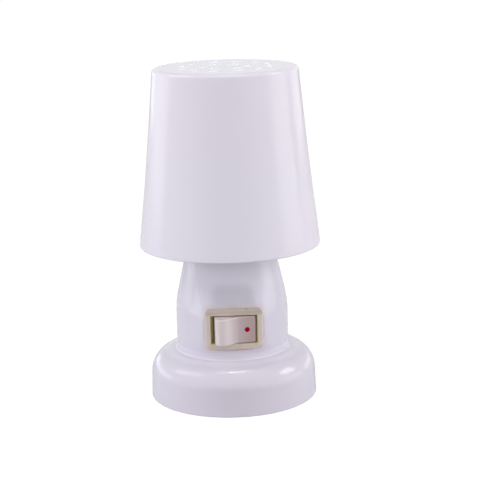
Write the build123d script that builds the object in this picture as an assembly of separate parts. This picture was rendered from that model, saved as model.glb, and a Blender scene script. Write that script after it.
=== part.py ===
from build123d import *
import os
from math import cos, radians, sin, sqrt, tan

# Plug-in night light that stands on its base.  Millimetres and degrees.
# Origin: centre of the base's underside.  +Z up, the switch faces -Y, the plug points +Y.

# Body housing: round base, straight body, tapered neck, spigot for the shade
base_radius = 31.6
base_draft = 0.6
base_height = 18.6
base_shoulder_round = 9.3
rim_round = 0.5
body_radius = 21.2
body_foot_round = 0.9
taper_start = 36.5
taper_round = 30.0
neck_radius = 16.0
neck_height = 60.0
neck_round = 0.6
body_wall = 1.8
spigot_radius = 14.4
spigot_height = 7.0
spigot_wall = 1.6
spigot_round = 0.4

# Shade: slightly flared cone with a closed, vented top and an inner collar
shade_overhang = 1.5
shade_height = 66.5
shade_rim_radius = 34.1
shade_top_radius = 27.0
shade_hollow = 0.3
shade_wall = 1.6
shade_top_round = 1.6
collar_clearance = 0.1
collar_wall = 1.5
collar_height = 10.0
rib_count = 4
rib_thickness = 1.4
rib_lead = 1.0
rib_end_gap = 0.05
vent_rings = 2
vents_in_first_ring = 6
vent_ring_pitch = 8.3
vent_length = 3.6
vent_width = 1.5

# Bottom cover and its screws
cover_thickness = 1.6
cover_clearance = 0.15
cover_screw_count = 3
cover_screw_circle = 23.5
cup_height = 4.0
cup_wall = 1.2
post_radius = 3.0
post_root = 0.3

# Self-tapping screws
screw_radius = 1.45
screw_head_radius = 2.8
screw_head_height = 1.9
screw_length = 9.0
screw_hole_clearance = 0.2
head_clearance = 0.35
slot_width = 0.8
slot_depth = 0.8

# Rocker switch
switch_height = 30.8
bezel_width = 21.2
bezel_height = 15.2
bezel_thickness = 1.8
bezel_corner = 1.4
bezel_edge_round = 0.5
well_width = 16.9
well_height = 10.4
switch_side_wall = 0.95
switch_end_wall = 1.25
switch_depth = 13.0
switch_floor = 1.6
pad_margin = 0.9
pad_setback = 0.6
pad_depth = 3.4
pad_corner = 2.0
pad_edge_round = 0.5
window_clearance = 0.1
catch_rise = 0.7
catch_length = 2.4
catch_height = 6.0
catch_clearance = 0.05
terminal_width = 4.8
terminal_thickness = 0.8
terminal_reach = 6.6
terminal_offset = 6.0

# Rocker: V-shaped face, each wing level with the bezel when it is pressed
rocker_half_length = 7.3
rocker_width = 10.0
rocker_wall = 1.2
rocker_tilt = 12.0
rocker_end_depth = 2.0
rocker_end_draft = 0.3
rocker_nose_round = 1.9
rocker_valley_round = 8.0
pivot_depth = 2.0
trunnion_radius = 1.0
trunnion_clearance = 0.05
trunnion_end_gap = 0.1
dot_radius = 0.95
dot_place = 3.9
dot_rise = 0.08
stem_radius = 1.9
stem_length = 4.2
plunger_radius = 1.1
plunger_clearance = 0.05
plunger_length = 4.4
plunger_gap = 0.1
spring_wire = 0.18
spring_turns = 4
spring_end_gap = 0.02

# Contact blade that rocks on the middle terminal
blade_length = 13.0
blade_width = 4.0
blade_thickness = 0.5
blade_tilt = 4.8
blade_depth = 8.2
fulcrum_radius = 0.6
fulcrum_gap = 0.05
contact_radius = 1.2
contact_height = 0.5
contact_gap = 0.12

# Plug block and pins
plug_height = 30.8
saddle_width = 40.0
saddle_height = 19.0
saddle_reach = 27.0
saddle_root = 8.0
saddle_wall = 1.8
saddle_end_wall = 2.0
saddle_corner = 4.0
nose_width = 35.3
nose_height = 13.7
nose_flat = 26.0
nose_side = 5.0
nose_reach = 52.0
nose_corner = 1.5
nose_edge_round = 0.8
flange_rim = 1.4
flange_thickness = 2.5
pin_spacing = 18.0
pin_radius = 2.0
pin_length = 19.0
pin_bare_length = 9.0
pin_core_radius = 1.5
pin_tail = 6.0
sleeve_relief = 0.2
tail_boss_radius = 2.9
tail_boss_length = 4.0
tail_boss_clearance = 0.1
plug_screw_spacing = 6.3
tag_thickness = 0.8
tag_radius = 3.0

# Small-cap screw lampholder
holder_skirt_radius = 12.0
holder_rise = 8.0
holder_depth = 18.2
holder_barrel_radius = 11.4
holder_flange_rim = 0.6
holder_flange_thickness = 1.8
holder_floor = 3.0
holder_mouth_radius = 8.2
holder_fit = 0.15
ring_thickness = 4.2
ring_radius = 14.15
ring_grips = 18
ring_grip_radius = 0.7
shell_wall = 0.4
shell_length = 19.0
shell_foot_bore = 4.6
tab_length = 4.0
tab_width = 3.8
tab_thickness = 0.5
centre_tab_offset = 3.0
side_tab_offset = 6.4
contact_rise = 3.25

# Bulb with a small screw cap
cap_radius = 6.94
thread_depth = 0.45
thread_pitch = 2.82
thread_turns = 4
thread_round = 0.35
thread_lead = 0.4
thread_clearance = 0.12
cap_wall = 0.3
cap_skirt_radius = 7.3
cap_skirt_height = 3.0
cap_skirt_slope = 0.8
cap_contact_radius = 2.4
cap_contact_height = 1.0
cap_insulator_height = 2.9
cap_insulator_radius = 5.4
bulb_gap = 0.05
glass_radius = 11.0
glass_neck_radius = 6.6
glass_height = 36.0
glass_wall = 0.7
glass_inset = 1.0
glass_neck_length = 3.2
glass_shoulder = 6.5
glass_top_round = 10.4
glass_neck_round = 2.5
glass_shoulder_round = 5.0
stem_glass_radius = 2.2
stem_glass_height = 12.0
stem_flare_rim = 0.7
stem_flare_height = 3.2
stem_flare_round = 1.5
stem_tip_round = 0.8
lead_radius = 0.25
lead_spread = 4.0
lead_rise = 9.0
lead_root = 0.9
filament_radius = 0.3
filament_rise = 3.2

# Internal wires
wire_radius = 0.9
wire_bend = 3.0
line_run = 8.0
line_turn = 4.0
neutral_run = 10.0
neutral_rise = 6.0
switched_run = 5.5
switched_step = 4.0
switched_rise = 3.5

# Worked out from the values above
taper = (body_radius - neck_radius) / (neck_height - taper_start)
body_bore = body_radius - body_wall
base_bore = base_radius - body_wall
spigot_top = neck_height + spigot_height
spigot_bore = spigot_radius - spigot_wall
web_bottom = spigot_top - body_wall
holder_hole = holder_skirt_radius + holder_fit

shade_rim = neck_height - shade_overhang
shade_top = shade_rim + shade_height
collar_bore = spigot_radius + collar_clearance

pad_face = -(body_radius - pad_setback)
bezel_face = pad_face - bezel_thickness
pivot_y = bezel_face + pivot_depth
switch_back = pad_face + switch_depth
switch_body_width = well_width + 2 * switch_side_wall
switch_body_height = well_height + 2 * switch_end_wall
valley_depth = pivot_depth / cos(radians(rocker_tilt))
blade_y = pivot_y + blade_depth
plunger_tip = blade_depth - blade_thickness / 2 - plunger_gap
plunger_top = plunger_tip - plunger_length

holder_top = spigot_top + holder_rise
holder_bottom = web_bottom - holder_depth
shell_foot = holder_bottom + holder_floor
bulb_foot = shell_foot + contact_rise + bulb_gap
cap_foot = bulb_foot + cap_contact_height + cap_insulator_height
thread_start = cap_foot + thread_lead
thread_top = thread_start + thread_turns * thread_pitch
cap_top = thread_top + cap_skirt_height
glass_foot = cap_top - glass_inset
shell_bore = cap_radius + thread_clearance
shell_outer = shell_bore + shell_wall
glass_bore = glass_neck_radius - glass_wall

pin_tip = nose_reach + pin_length
pin_sides = {"left": -pin_spacing / 2, "right": pin_spacing / 2}


def turned(corners):
    """Solid of revolution about Z from (radius, height, corner round) corners."""
    points = [(r, z) for r, z, _ in corners]
    rounds = [corner_round for _, _, corner_round in corners]
    outline = FilletPolyline(*points, radius=rounds, close=True)
    return revolve(make_face(Plane.XZ * outline), Axis.Z, 360)


def block(x_span, y_span, z_span):
    """Box between the given (low, high) limits."""
    middles = [(low + high) / 2 for low, high in (x_span, y_span, z_span)]
    sizes = [high - low for low, high in (x_span, y_span, z_span)]
    return Pos(*middles) * Box(*sizes)


def slab(width, height, y_span, z_middle, corner):
    """Upright block centred on X, with its edges along Y rounded."""
    body = block((-width / 2, width / 2), y_span, (z_middle - height / 2, z_middle + height / 2))
    return fillet(body.edges().filter_by(Axis.Y), corner)


def rod_y(radius, x, y_span, z):
    """Round bar along Y."""
    return Pos(x, sum(y_span) / 2, z) * Rot(90, 0, 0) * Cylinder(radius, y_span[1] - y_span[0])


def rod_z(radius, x, y, z_span):
    """Round bar along Z."""
    return Pos(x, y, sum(z_span) / 2) * Cylinder(radius, z_span[1] - z_span[0])


def tube_along(points, radius, bend):
    """Round wire along straight runs joined by arcs."""
    path = FilletPolyline(*points, radius=bend)
    start = Plane(origin=path @ 0, z_dir=path % 0)
    return sweep(start * Circle(radius), path=path)


def screw():
    """Pan-head screw: head below Z = 0, shank along +Z."""
    head = Pos(0, 0, -screw_head_height / 2) * Cylinder(screw_head_radius, screw_head_height)
    head = fillet(head.edges().sort_by(Axis.Z)[0], screw_head_height / 3)
    arm = 2 * screw_head_radius * 0.6
    recess = Box(arm, slot_width, 2 * slot_depth) + Box(slot_width, arm, 2 * slot_depth)
    head -= Pos(0, 0, -screw_head_height) * recess
    shank = Pos(0, 0, screw_length / 2) * Cylinder(screw_radius, screw_length)
    shank = chamfer(shank.edges().sort_by(Axis.Z)[-1], screw_radius / 2)
    return head + shank


def cover_screw_places():
    """Centres of the screws that hold the bottom cover."""
    return PolarLocations(cover_screw_circle, cover_screw_count, start_angle=30)


def make_body_housing():
    """One-piece moulding: base, body, neck and spigot, open underneath."""
    outside = [
        (base_radius, 0, rim_round),
        (base_radius - base_draft, base_height, base_shoulder_round),
        (body_radius, base_height, body_foot_round),
        (body_radius, taper_start, taper_round),
        (neck_radius, neck_height, neck_round),
        (spigot_radius, neck_height, 0),
        (spigot_radius, spigot_top, spigot_round),
    ]
    inside = [
        (holder_hole, spigot_top, 0),
        (holder_hole, web_bottom, 0),
        (spigot_bore, web_bottom, 0),
        (spigot_bore, neck_height - body_wall, 0),
        (neck_radius - body_wall + body_wall * taper, neck_height - body_wall, 0),
        (body_bore, taper_start, 0),
        (body_bore, base_height - body_wall, 0),
        (base_bore - base_draft, base_height - body_wall, base_shoulder_round - body_wall),
        (base_bore, 0, 0),
    ]
    housing = turned(outside + inside)
    housing += switch_pad_fill()
    housing -= switch_pad_cut()
    housing += saddle_outside() - rod_z(body_bore, 0, 0, (0, neck_height))
    housing -= saddle_inside()
    for place in cover_screw_places():
        post_top = base_height - body_wall + post_root
        post_middle = (cup_height + post_top) / 2
        housing += place * Pos(0, 0, post_middle) * Cylinder(post_radius, post_top - cup_height)
        hole_top = cup_height + screw_length
        housing -= place * Pos(0, 0, hole_top / 2) * Cylinder(screw_radius, hole_top)
    return housing


def switch_pad_fill():
    """Flat seat that the switch's bezel lies on, before its face is cut."""
    width = bezel_width + 2 * pad_margin
    height = bezel_height + 2 * pad_margin
    pad = slab(width, height, (pad_face, pad_face + pad_depth), switch_height, pad_corner)
    return fillet(pad.faces().sort_by(Axis.Y)[0].edges(), pad_edge_round)


def switch_pad_cut():
    """Clears the round body in front of the seat, and the switch's window."""
    width = bezel_width + 2 * pad_margin
    height = bezel_height + 2 * pad_margin
    front = slab(width, height, (pad_face - body_wall, pad_face), switch_height, pad_corner)
    half_width = switch_body_width / 2 + window_clearance
    half_height = switch_body_height / 2 + window_clearance
    z_span = (switch_height - half_height, switch_height + half_height)
    window = block((-half_width, half_width), (pad_face - body_wall, -body_bore / 2), z_span)
    return front + window


def saddle_outside():
    """Box at the back of the body that carries the plug block."""
    y_span = (saddle_root, saddle_reach)
    return slab(saddle_width, saddle_height, y_span, plug_height, saddle_corner)


def saddle_inside():
    """Room for the pin tails, and the holes in the saddle's end wall."""
    width = saddle_width - 2 * saddle_wall
    height = saddle_height - 2 * saddle_wall
    end = saddle_reach - saddle_end_wall
    room = slab(width, height, (saddle_root, end), plug_height, saddle_corner - saddle_wall)
    wall = (end - 1, saddle_reach + 1)
    for x in pin_sides.values():
        room += rod_y(tail_boss_radius + tail_boss_clearance, x, wall, plug_height)
    for x in (-plug_screw_spacing / 2, plug_screw_spacing / 2):
        room += rod_y(screw_radius + screw_hole_clearance, x, wall, plug_height)
    return room


def make_bottom_cover():
    """Flat disc with three raised cups that hide the screw heads."""
    draft_in = base_draft * cup_height / base_height
    radius = base_bore - draft_in - cover_clearance
    cover = Pos(0, 0, cover_thickness / 2) * Cylinder(radius, cover_thickness)
    head_room = screw_head_radius + head_clearance
    shelf = cup_height - cover_thickness
    for place in cover_screw_places():
        cover += place * Pos(0, 0, cup_height / 2) * Cylinder(head_room + cup_wall, cup_height)
        cover -= place * Pos(0, 0, shelf / 2) * Cylinder(head_room, shelf)
        hole = Cylinder(screw_radius + screw_hole_clearance, 2 * cup_height)
        cover -= place * Pos(0, 0, cup_height) * hole
    return cover


def make_cover_screws():
    """Three screws, driven from below into the housing's posts."""
    seat = Pos(0, 0, cup_height - cover_thickness)
    return Compound(children=[place * seat * screw() for place in cover_screw_places()])


def shade_side(inset):
    """Side and top of the shade, moved in by inset, as a solid of revolution."""
    top = shade_top - inset
    lean = (shade_rim_radius - shade_top_radius) / shade_height
    low = (shade_rim_radius - inset, shade_rim)
    high = (shade_top_radius - inset + lean * inset, top)
    middle = ((low[0] + high[0]) / 2 - shade_hollow, (low[1] + high[1]) / 2)
    side = ThreePointArc(low, middle, high)
    rest = Polyline(high, (0, top), (0, shade_rim), low)
    solid = revolve(make_face(Plane.XZ * (side + rest)), Axis.Z, 360)
    top_edge = solid.edges().sort_by(Axis.Z)[-1]
    return fillet(top_edge, shade_top_round - inset / 2)


def shade_vents():
    """Short slots in rings round a centre hole."""
    height = 2 * shade_wall
    vents = Pos(0, 0, shade_top) * Cylinder(vent_width, 2 * height)
    for ring in range(1, vent_rings + 1):
        count = vents_in_first_ring * ring
        for place in PolarLocations(ring * vent_ring_pitch, count, start_angle=15 * (ring - 1)):
            slot = extrude(Rot(0, 0, 90) * SlotOverall(vent_length, vent_width), height, both=True)
            vents += Pos(0, 0, shade_top) * place * slot
    return vents


def make_shade():
    """Thin opal moulding, open at the rim and vented at the top."""
    shade = shade_side(0) - shade_side(shade_wall) - shade_vents()
    rim_edges = [e for e in shade.edges().filter_by(GeomType.CIRCLE)
                 if abs(e.center().Z - shade_rim) < 0.01]
    return fillet(rim_edges, shade_wall * 0.35)


def make_shade_collar():
    """Ring that sits on the neck's spigot, with ribs pressed into the shade."""
    collar_top = neck_height + collar_height
    collar = rod_z(collar_bore + collar_wall, 0, 0, (neck_height, collar_top))
    inside = shade_side(shade_wall + rib_end_gap)
    for turn in range(rib_count):
        rib = block((0, shade_rim_radius), (-rib_thickness / 2, rib_thickness / 2),
                    (neck_height + rib_lead, collar_top))
        collar += (Rot(0, 0, 45 + turn * 360 / rib_count) * rib) & inside
    return collar - rod_z(collar_bore, 0, 0, (neck_height - 1, collar_top + 1))


def make_switch_housing():
    """Bezel and box of the rocker switch, with side catches."""
    bezel = slab(bezel_width, bezel_height, (bezel_face, pad_face), switch_height, bezel_corner)
    front_edges = bezel.faces().sort_by(Axis.Y)[0].edges()
    bezel = fillet(front_edges, bezel_edge_round)
    half_width = switch_body_width / 2
    half_height = switch_body_height / 2
    z_span = (switch_height - half_height, switch_height + half_height)
    box = block((-half_width, half_width), (pad_face, switch_back), z_span)
    housing = bezel + box
    well_z = (switch_height - well_height / 2, switch_height + well_height / 2)
    well_x = (-well_width / 2, well_width / 2)
    housing -= block(well_x, (bezel_face - 1, switch_back - switch_floor), well_z)
    hole_half = rocker_width / 2 + trunnion_reach() + trunnion_end_gap
    trunnion_hole = rod_z(trunnion_radius + trunnion_clearance, 0, pivot_y,
                          (switch_height - hole_half, switch_height + hole_half))
    housing -= trunnion_hole
    for x in terminal_places():
        slot = block((x - terminal_thickness / 2, x + terminal_thickness / 2),
                     (switch_back - 2 * switch_floor, switch_back + 1),
                     (switch_height - terminal_width / 2, switch_height + terminal_width / 2))
        housing -= slot
    return housing + side_catches()


def side_catches():
    """Wedges that snap behind the housing wall when the switch is pushed in."""
    x_wall = switch_body_width / 2
    y_low = catch_clearance - sqrt(body_bore ** 2 - (x_wall + catch_rise) ** 2)
    corners = [(x_wall, y_low), (x_wall + catch_rise, y_low), (x_wall, y_low + catch_length)]
    profile = make_face(Polyline(*corners, close=True))
    wedge = Pos(0, 0, switch_height - catch_height / 2) * extrude(profile, catch_height)
    return wedge + mirror(wedge, Plane.YZ)


def trunnion_reach():
    """How far each trunnion stands out of the rocker's side."""
    return (well_height - rocker_width) / 2 + switch_end_wall - 2 * trunnion_end_gap


def terminal_places():
    """X of the load terminal and of the middle terminal."""
    return (-terminal_offset, 0)


def terminal_blade(x, y_front):
    """Flat blade through the switch's floor."""
    return block((x - terminal_thickness / 2, x + terminal_thickness / 2),
                 (y_front, switch_back + terminal_reach),
                 (switch_height - terminal_width / 2, switch_height + terminal_width / 2))


def make_middle_terminal():
    """Blade with a hollow end that the contact blade rocks in."""
    seat = Cylinder(fulcrum_radius + fulcrum_gap, 2 * terminal_width)
    return terminal_blade(0, blade_y) - Pos(0, blade_y, switch_height) * seat


def make_load_terminal():
    """Blade with the fixed contact, under the arm that is down at rest."""
    drop = terminal_offset * sin(radians(blade_tilt))
    y_face = blade_y + blade_thickness / 2 + contact_height + drop + contact_gap
    contact = rod_y(contact_radius, -terminal_offset, (y_face, y_face + contact_height), switch_height)
    return terminal_blade(-terminal_offset, y_face + contact_height) + contact


def at_rocker_pivot(shape):
    """Moves a shape drawn level at the pivot to its place, tilted as it rests."""
    return Pos(0, pivot_y, switch_height) * Rot(0, 0, rocker_tilt) * shape


def rocker_outline(inset):
    """V-shaped profile in X and Y about the pivot; the face looks along -Y."""
    lean = tan(radians(rocker_tilt))
    half = rocker_half_length - inset
    valley = -(valley_depth - inset / cos(radians(rocker_tilt)))
    nose = valley - half * lean
    foot = rocker_end_depth + (1 if inset else 0)
    foot_half = half - rocker_end_draft
    nose_round = max(rocker_nose_round - inset, 0.2)
    points = [(-half, nose), (0, valley), (half, nose), (foot_half, foot), (-foot_half, foot)]
    rounds = [nose_round, rocker_valley_round, nose_round, 0, 0]
    return make_face(FilletPolyline(*points, radius=rounds, close=True))


def make_rocker():
    """Hollow rocker with a hollow stem for the plunger and two trunnions."""
    rocker = Pos(0, 0, -rocker_width / 2) * extrude(rocker_outline(0), rocker_width)
    inner_width = rocker_width - 2 * rocker_wall
    hollow = Pos(0, 0, -inner_width / 2) * extrude(rocker_outline(rocker_wall), inner_width)
    rocker -= hollow
    stem_start = -(valley_depth - rocker_wall / 2)
    rocker += rod_y(stem_radius, 0, (stem_start, stem_length), 0)
    bore = plunger_radius + plunger_clearance
    rocker -= rod_y(bore, 0, (-(valley_depth - rocker_wall), stem_length + 1), 0)
    reach = rocker_width / 2 + trunnion_reach()
    inner = rocker_width / 2 - rocker_wall
    for side in (-1, 1):
        span = sorted((side * inner, side * reach))
        rocker += rod_z(trunnion_radius, 0, 0, span)
    rocker -= dot_pin(dot_length() + 2, 1)
    return at_rocker_pivot(rocker)


def dot_length():
    """Length of the red marker pin, which goes through the rocker's wall."""
    return rocker_wall + dot_rise


def dot_pin(length, rise):
    """Round pin square to the wing that is down at rest."""
    surface = -(valley_depth + dot_place * tan(radians(rocker_tilt)))
    pin = rod_y(dot_radius, 0, (-rise, length - rise), 0)
    return Pos(dot_place, surface, 0) * Rot(0, 0, -rocker_tilt) * pin


def make_rocker_dot():
    """Red marker on the wing that is down at rest."""
    return at_rocker_pivot(dot_pin(dot_length(), dot_rise))


def make_plunger():
    """Sprung pin in the rocker's stem that presses the contact blade."""
    pin = rod_y(plunger_radius, 0, (plunger_top, plunger_tip), 0)
    pin = fillet(pin.edges().sort_by(Axis.Y)[-1], plunger_radius * 0.9)
    return at_rocker_pivot(pin)


def make_plunger_spring():
    """Small compression spring between the stem's end and the plunger."""
    low = -(valley_depth - rocker_wall) + spring_end_gap + spring_wire
    high = plunger_top - spring_end_gap - spring_wire
    coil_radius = plunger_radius - spring_wire
    path = Helix((high - low) / spring_turns, high - low, coil_radius)
    coil = sweep(Plane(origin=path @ 0, z_dir=path % 0) * Circle(spring_wire), path=path)
    return at_rocker_pivot(Pos(0, low, 0) * Rot(-90, 0, 0) * coil)


def make_contact_blade():
    """Brass blade that rocks on a half-round knuckle, with its contact button."""
    half = blade_thickness / 2
    z_span = (-blade_width / 2, blade_width / 2)
    blade = block((-blade_length / 2, blade_length / 2), (-half, half), z_span)
    blade += rod_y(contact_radius, -terminal_offset, (half, half + contact_height), 0)
    behind = block((-fulcrum_radius, fulcrum_radius), (0, fulcrum_radius), z_span)
    blade += rod_z(fulcrum_radius, 0, 0, z_span) & behind
    return Pos(0, blade_y, switch_height) * Rot(0, 0, -blade_tilt) * blade


def nose_outline(rim):
    """Flattened hexagon of the plug, grown by rim."""
    wide = nose_width / 2 + rim
    tall = nose_height / 2 + rim
    flat = nose_flat / 2 + rim * 0.5
    side = nose_side / 2
    points = [(-wide, side), (-flat, tall), (flat, tall), (wide, side),
              (wide, -side), (flat, -tall), (-flat, -tall), (-wide, -side)]
    return make_face(FilletPolyline(*points, radius=nose_corner, close=True))


def make_plug_block():
    """Insulating block that enters the wall socket and holds both pins."""
    back = Plane(origin=(0, saddle_reach, plug_height), x_dir=(1, 0, 0), z_dir=(0, 1, 0))
    plug = extrude(back * nose_outline(0), nose_reach - saddle_reach)
    plug = fillet(plug.faces().sort_by(Axis.Y)[-1].edges(), nose_edge_round)
    plug += extrude(back * nose_outline(flange_rim), flange_thickness)
    for x in pin_sides.values():
        boss = (saddle_reach - tail_boss_length, saddle_reach)
        plug += rod_y(tail_boss_radius, x, boss, plug_height)
        core_start = nose_reach - pin_core_radius
        plug -= rod_y(pin_radius, x, (saddle_reach, core_start), plug_height)
        plug -= rod_y(pin_core_radius, x, (boss[0] - 1, nose_reach + 1), plug_height)
    hole_end = saddle_reach - saddle_end_wall + screw_length
    for x in (-plug_screw_spacing / 2, plug_screw_spacing / 2):
        plug -= rod_y(screw_radius, x, (saddle_reach - 1, hole_end), plug_height)
    return plug


def make_plug_screws():
    """Two screws from inside the body into the plug block."""
    seat = saddle_reach - saddle_end_wall
    half = plug_screw_spacing / 2
    places = [Pos(x, seat, plug_height) * Rot(-90, 0, 0) for x in (-half, half)]
    return Compound(children=[place * screw() for place in places])


def make_pin(x):
    """Brass plug pin: bare tip, thinner core under the sleeve, tail inside."""
    bare_start = pin_tip - pin_bare_length
    tip = rod_y(pin_radius, x, (bare_start, pin_tip), plug_height)
    tip = fillet(tip.edges().sort_by(Axis.Y)[-1], pin_radius * 0.9)
    root = rod_y(pin_radius, x, (saddle_reach, nose_reach - pin_core_radius), plug_height)
    tail_start = saddle_reach - pin_tail
    return tip + root + rod_y(pin_core_radius, x, (tail_start, bare_start), plug_height)


def make_pin_sleeve(x):
    """Insulating sleeve round the first part of a pin."""
    span = (nose_reach, pin_tip - pin_bare_length)
    sleeve = rod_y(pin_radius - sleeve_relief, x, span, plug_height)
    return sleeve - rod_y(pin_core_radius, x, (span[0] - 1, span[1] + 1), plug_height)


def make_pin_tag(x):
    """Solder tag pressed on a pin's tail."""
    tag_back = saddle_reach - tail_boss_length
    span = (tag_back - tag_thickness, tag_back)
    tag = rod_y(tag_radius, x, span, plug_height)
    return tag - rod_y(pin_core_radius, x, (span[0] - 1, span[1] + 1), plug_height)


def make_lampholder_body():
    """Insulating holder: skirt through the neck's web, flange under it, floor."""
    flange_radius = holder_skirt_radius + holder_flange_rim
    flange_bottom = web_bottom - holder_flange_thickness
    bore = shell_outer + holder_fit
    shell_top = shell_foot + shell_length
    holder = turned([
        (0, holder_bottom, 0),
        (holder_barrel_radius, holder_bottom, 0.8),
        (holder_barrel_radius, flange_bottom, 0),
        (flange_radius, flange_bottom, 0),
        (flange_radius, web_bottom, 0),
        (holder_skirt_radius, web_bottom, 0),
        (holder_skirt_radius, holder_top, 0.8),
        (holder_mouth_radius, holder_top, 0.5),
        (holder_mouth_radius, shell_top, 0),
        (bore, shell_top, 0),
        (bore, shell_foot, 0),
        (0, shell_foot, 0),
    ])
    for x in (-side_tab_offset, centre_tab_offset):
        holder -= tab_strip(x, (holder_bottom - 1, shell_foot + 1))
    return holder


def tab_strip(x, z_span):
    """Flat strip square to X, used for the holder's tabs and their slots."""
    half = tab_thickness / 2
    return block((x - half, x + half), (-tab_width / 2, tab_width / 2), z_span)


def make_lampholder_ring():
    """Ring nut that clamps the holder to the neck's web."""
    ring = rod_z(ring_radius, 0, 0, (spigot_top, spigot_top + ring_thickness))
    ring = fillet(ring.edges().sort_by(Axis.Z)[-1], 0.5)
    ring -= rod_z(holder_skirt_radius, 0, 0, (spigot_top - 1, spigot_top + ring_thickness + 1))
    grip = Cylinder(ring_grip_radius, 2 * ring_thickness)
    for place in PolarLocations(ring_radius + ring_grip_radius / 2, ring_grips):
        ring -= Pos(0, 0, spigot_top + ring_thickness * 1.4) * place * grip
    return ring


def thread_wave(crest):
    """Crest and root points of a round thread drawn as closed rings."""
    points = []
    for turn in range(thread_turns):
        z = thread_start + turn * thread_pitch
        points.append((crest - thread_depth, z))
        points.append((crest, z + thread_pitch / 2))
    points.append((crest - thread_depth, thread_top))
    return points


def waved_wall(crest, wall, lower, upper):
    """Thin threaded wall between a lower and an upper run of corners."""
    wave = thread_wave(crest)
    outer = [(r, z, thread_round) for r, z in wave]
    inner = [(r - wall, z, thread_round) for r, z in reversed(wave)]
    return turned(lower[0] + outer + upper[0] + upper[1] + inner + lower[1])


def make_lampholder_shell():
    """Threaded brass shell with an inward foot."""
    top = shell_foot + shell_length
    lower_outer = [(shell_foot_bore, shell_foot, 0), (shell_outer, shell_foot, 0.3)]
    lower_inner = [(shell_bore, shell_foot + shell_wall, 0.1),
                   (shell_foot_bore, shell_foot + shell_wall, 0)]
    lower = (lower_outer, lower_inner)
    upper = ([(shell_outer, top, 0)], [(shell_bore, top, 0)])
    return waved_wall(shell_outer, shell_wall, lower, upper)


def make_lampholder_contact():
    """Spring tongue for the bulb's centre contact, with its solder tab."""
    half = tab_thickness / 2
    x_low = centre_tab_offset - half
    x_high = centre_tab_offset + half
    top = shell_foot + contact_rise
    thick = tab_thickness
    knee = shell_foot + thick
    points = [(x_high, holder_bottom - tab_length), (x_high, knee), (0.4, top), (-2.0, top),
              (-2.0, top - thick), (0, top - thick), (x_low, knee - thick),
              (x_low, holder_bottom - tab_length)]
    profile = make_face(Plane.XZ * Polyline(*points, close=True))
    tongue = extrude(profile, tab_width / 2, both=True)
    return tongue


def make_lampholder_side_tab():
    """Solder tab under the threaded shell."""
    return tab_strip(-side_tab_offset, (holder_bottom - tab_length, shell_foot))


def make_bulb_cap():
    """Threaded metal cap with a wider skirt for the glass."""
    lower_outer = [(cap_insulator_radius, cap_foot, 0)]
    lower_inner = [(cap_insulator_radius - cap_wall, cap_foot + cap_wall, 0)]
    skirt_foot = thread_top + cap_skirt_slope
    skirt_bore = cap_skirt_radius - cap_wall
    upper_outer = [(cap_skirt_radius, skirt_foot, 0.2), (cap_skirt_radius, cap_top, 0)]
    upper_inner = [(skirt_bore, cap_top, 0), (skirt_bore, skirt_foot + cap_wall, 0)]
    return waved_wall(cap_radius, cap_wall, (lower_outer, lower_inner), (upper_outer, upper_inner))


def make_bulb_insulator():
    """Dark glass cone between the cap and its centre contact."""
    base = bulb_foot + cap_contact_height
    return turned([
        (0, base, 0),
        (cap_contact_radius + 0.6, base, 0.3),
        (cap_insulator_radius, cap_foot - 0.3, 0.2),
        (cap_insulator_radius, cap_foot, 0),
        (0, cap_foot, 0),
    ])


def make_bulb_contact():
    """Solder button at the foot of the bulb."""
    button = rod_z(cap_contact_radius, 0, 0, (bulb_foot, bulb_foot + cap_contact_height))
    return fillet(button.edges().sort_by(Axis.Z)[0], cap_contact_height * 0.5)


def make_bulb_glass():
    """Tubular envelope with a domed top."""
    top = glass_foot + glass_height
    knee = glass_foot + glass_neck_length
    shoulder = knee + glass_shoulder
    wall = glass_wall
    return turned([
        (glass_neck_radius, glass_foot, 0),
        (glass_neck_radius, knee, glass_neck_round),
        (glass_radius, shoulder, glass_shoulder_round),
        (glass_radius, top, glass_top_round),
        (0, top, 0),
        (0, top - wall, 0),
        (glass_radius - wall, top - wall, glass_top_round - wall),
        (glass_radius - wall, shoulder + wall * 0.4, glass_shoulder_round - wall * 0.7),
        (glass_bore, knee + wall * 0.4, glass_neck_round + wall * 0.7),
        (glass_bore, glass_foot, 0),
    ])


def make_bulb_collar():
    """Cement ring that fixes the glass in the cap's skirt."""
    outer = rod_z(cap_skirt_radius - cap_wall, 0, 0, (glass_foot, cap_top))
    return outer - rod_z(glass_neck_radius, 0, 0, (glass_foot - 1, cap_top + 1))


def make_bulb_stem():
    """Glass stem that carries the lead wires."""
    foot = glass_foot
    top = foot + stem_glass_height
    return turned([
        (0, foot, 0),
        (glass_bore, foot, 0),
        (glass_bore, foot + stem_flare_rim, 0),
        (stem_glass_radius, foot + stem_flare_height, stem_flare_round),
        (stem_glass_radius, top, stem_tip_round),
        (0, top, 0),
    ])


def lead_tip_height():
    """Height of the lead wires' tips, where the filament hangs."""
    return glass_foot + stem_glass_height + lead_rise


def make_bulb_leads():
    """Two lead wires that spread from the stem."""
    lift = lead_radius * (lead_spread - lead_root) / lead_rise
    foot = glass_foot + stem_glass_height + lift
    leads = []
    for side in (-1, 1):
        line = Line((side * lead_root, 0, foot), (side * lead_spread, 0, lead_tip_height()))
        start = Plane(origin=line @ 0, z_dir=line % 0)
        leads.append(sweep(start * Circle(lead_radius), path=line))
    return Compound(children=leads)


def make_bulb_filament():
    """Filament arched between the two leads."""
    tip = lead_tip_height() + filament_radius
    arc = ThreePointArc((-lead_spread, 0, tip), (0, 0, tip + filament_rise), (lead_spread, 0, tip))
    start = Plane(origin=arc @ 0, z_dir=arc % 0)
    return sweep(start * Circle(filament_radius), path=arc)


def tag_front():
    """Y of the pin tails' ends, where the wires start."""
    return saddle_reach - pin_tail


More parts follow.
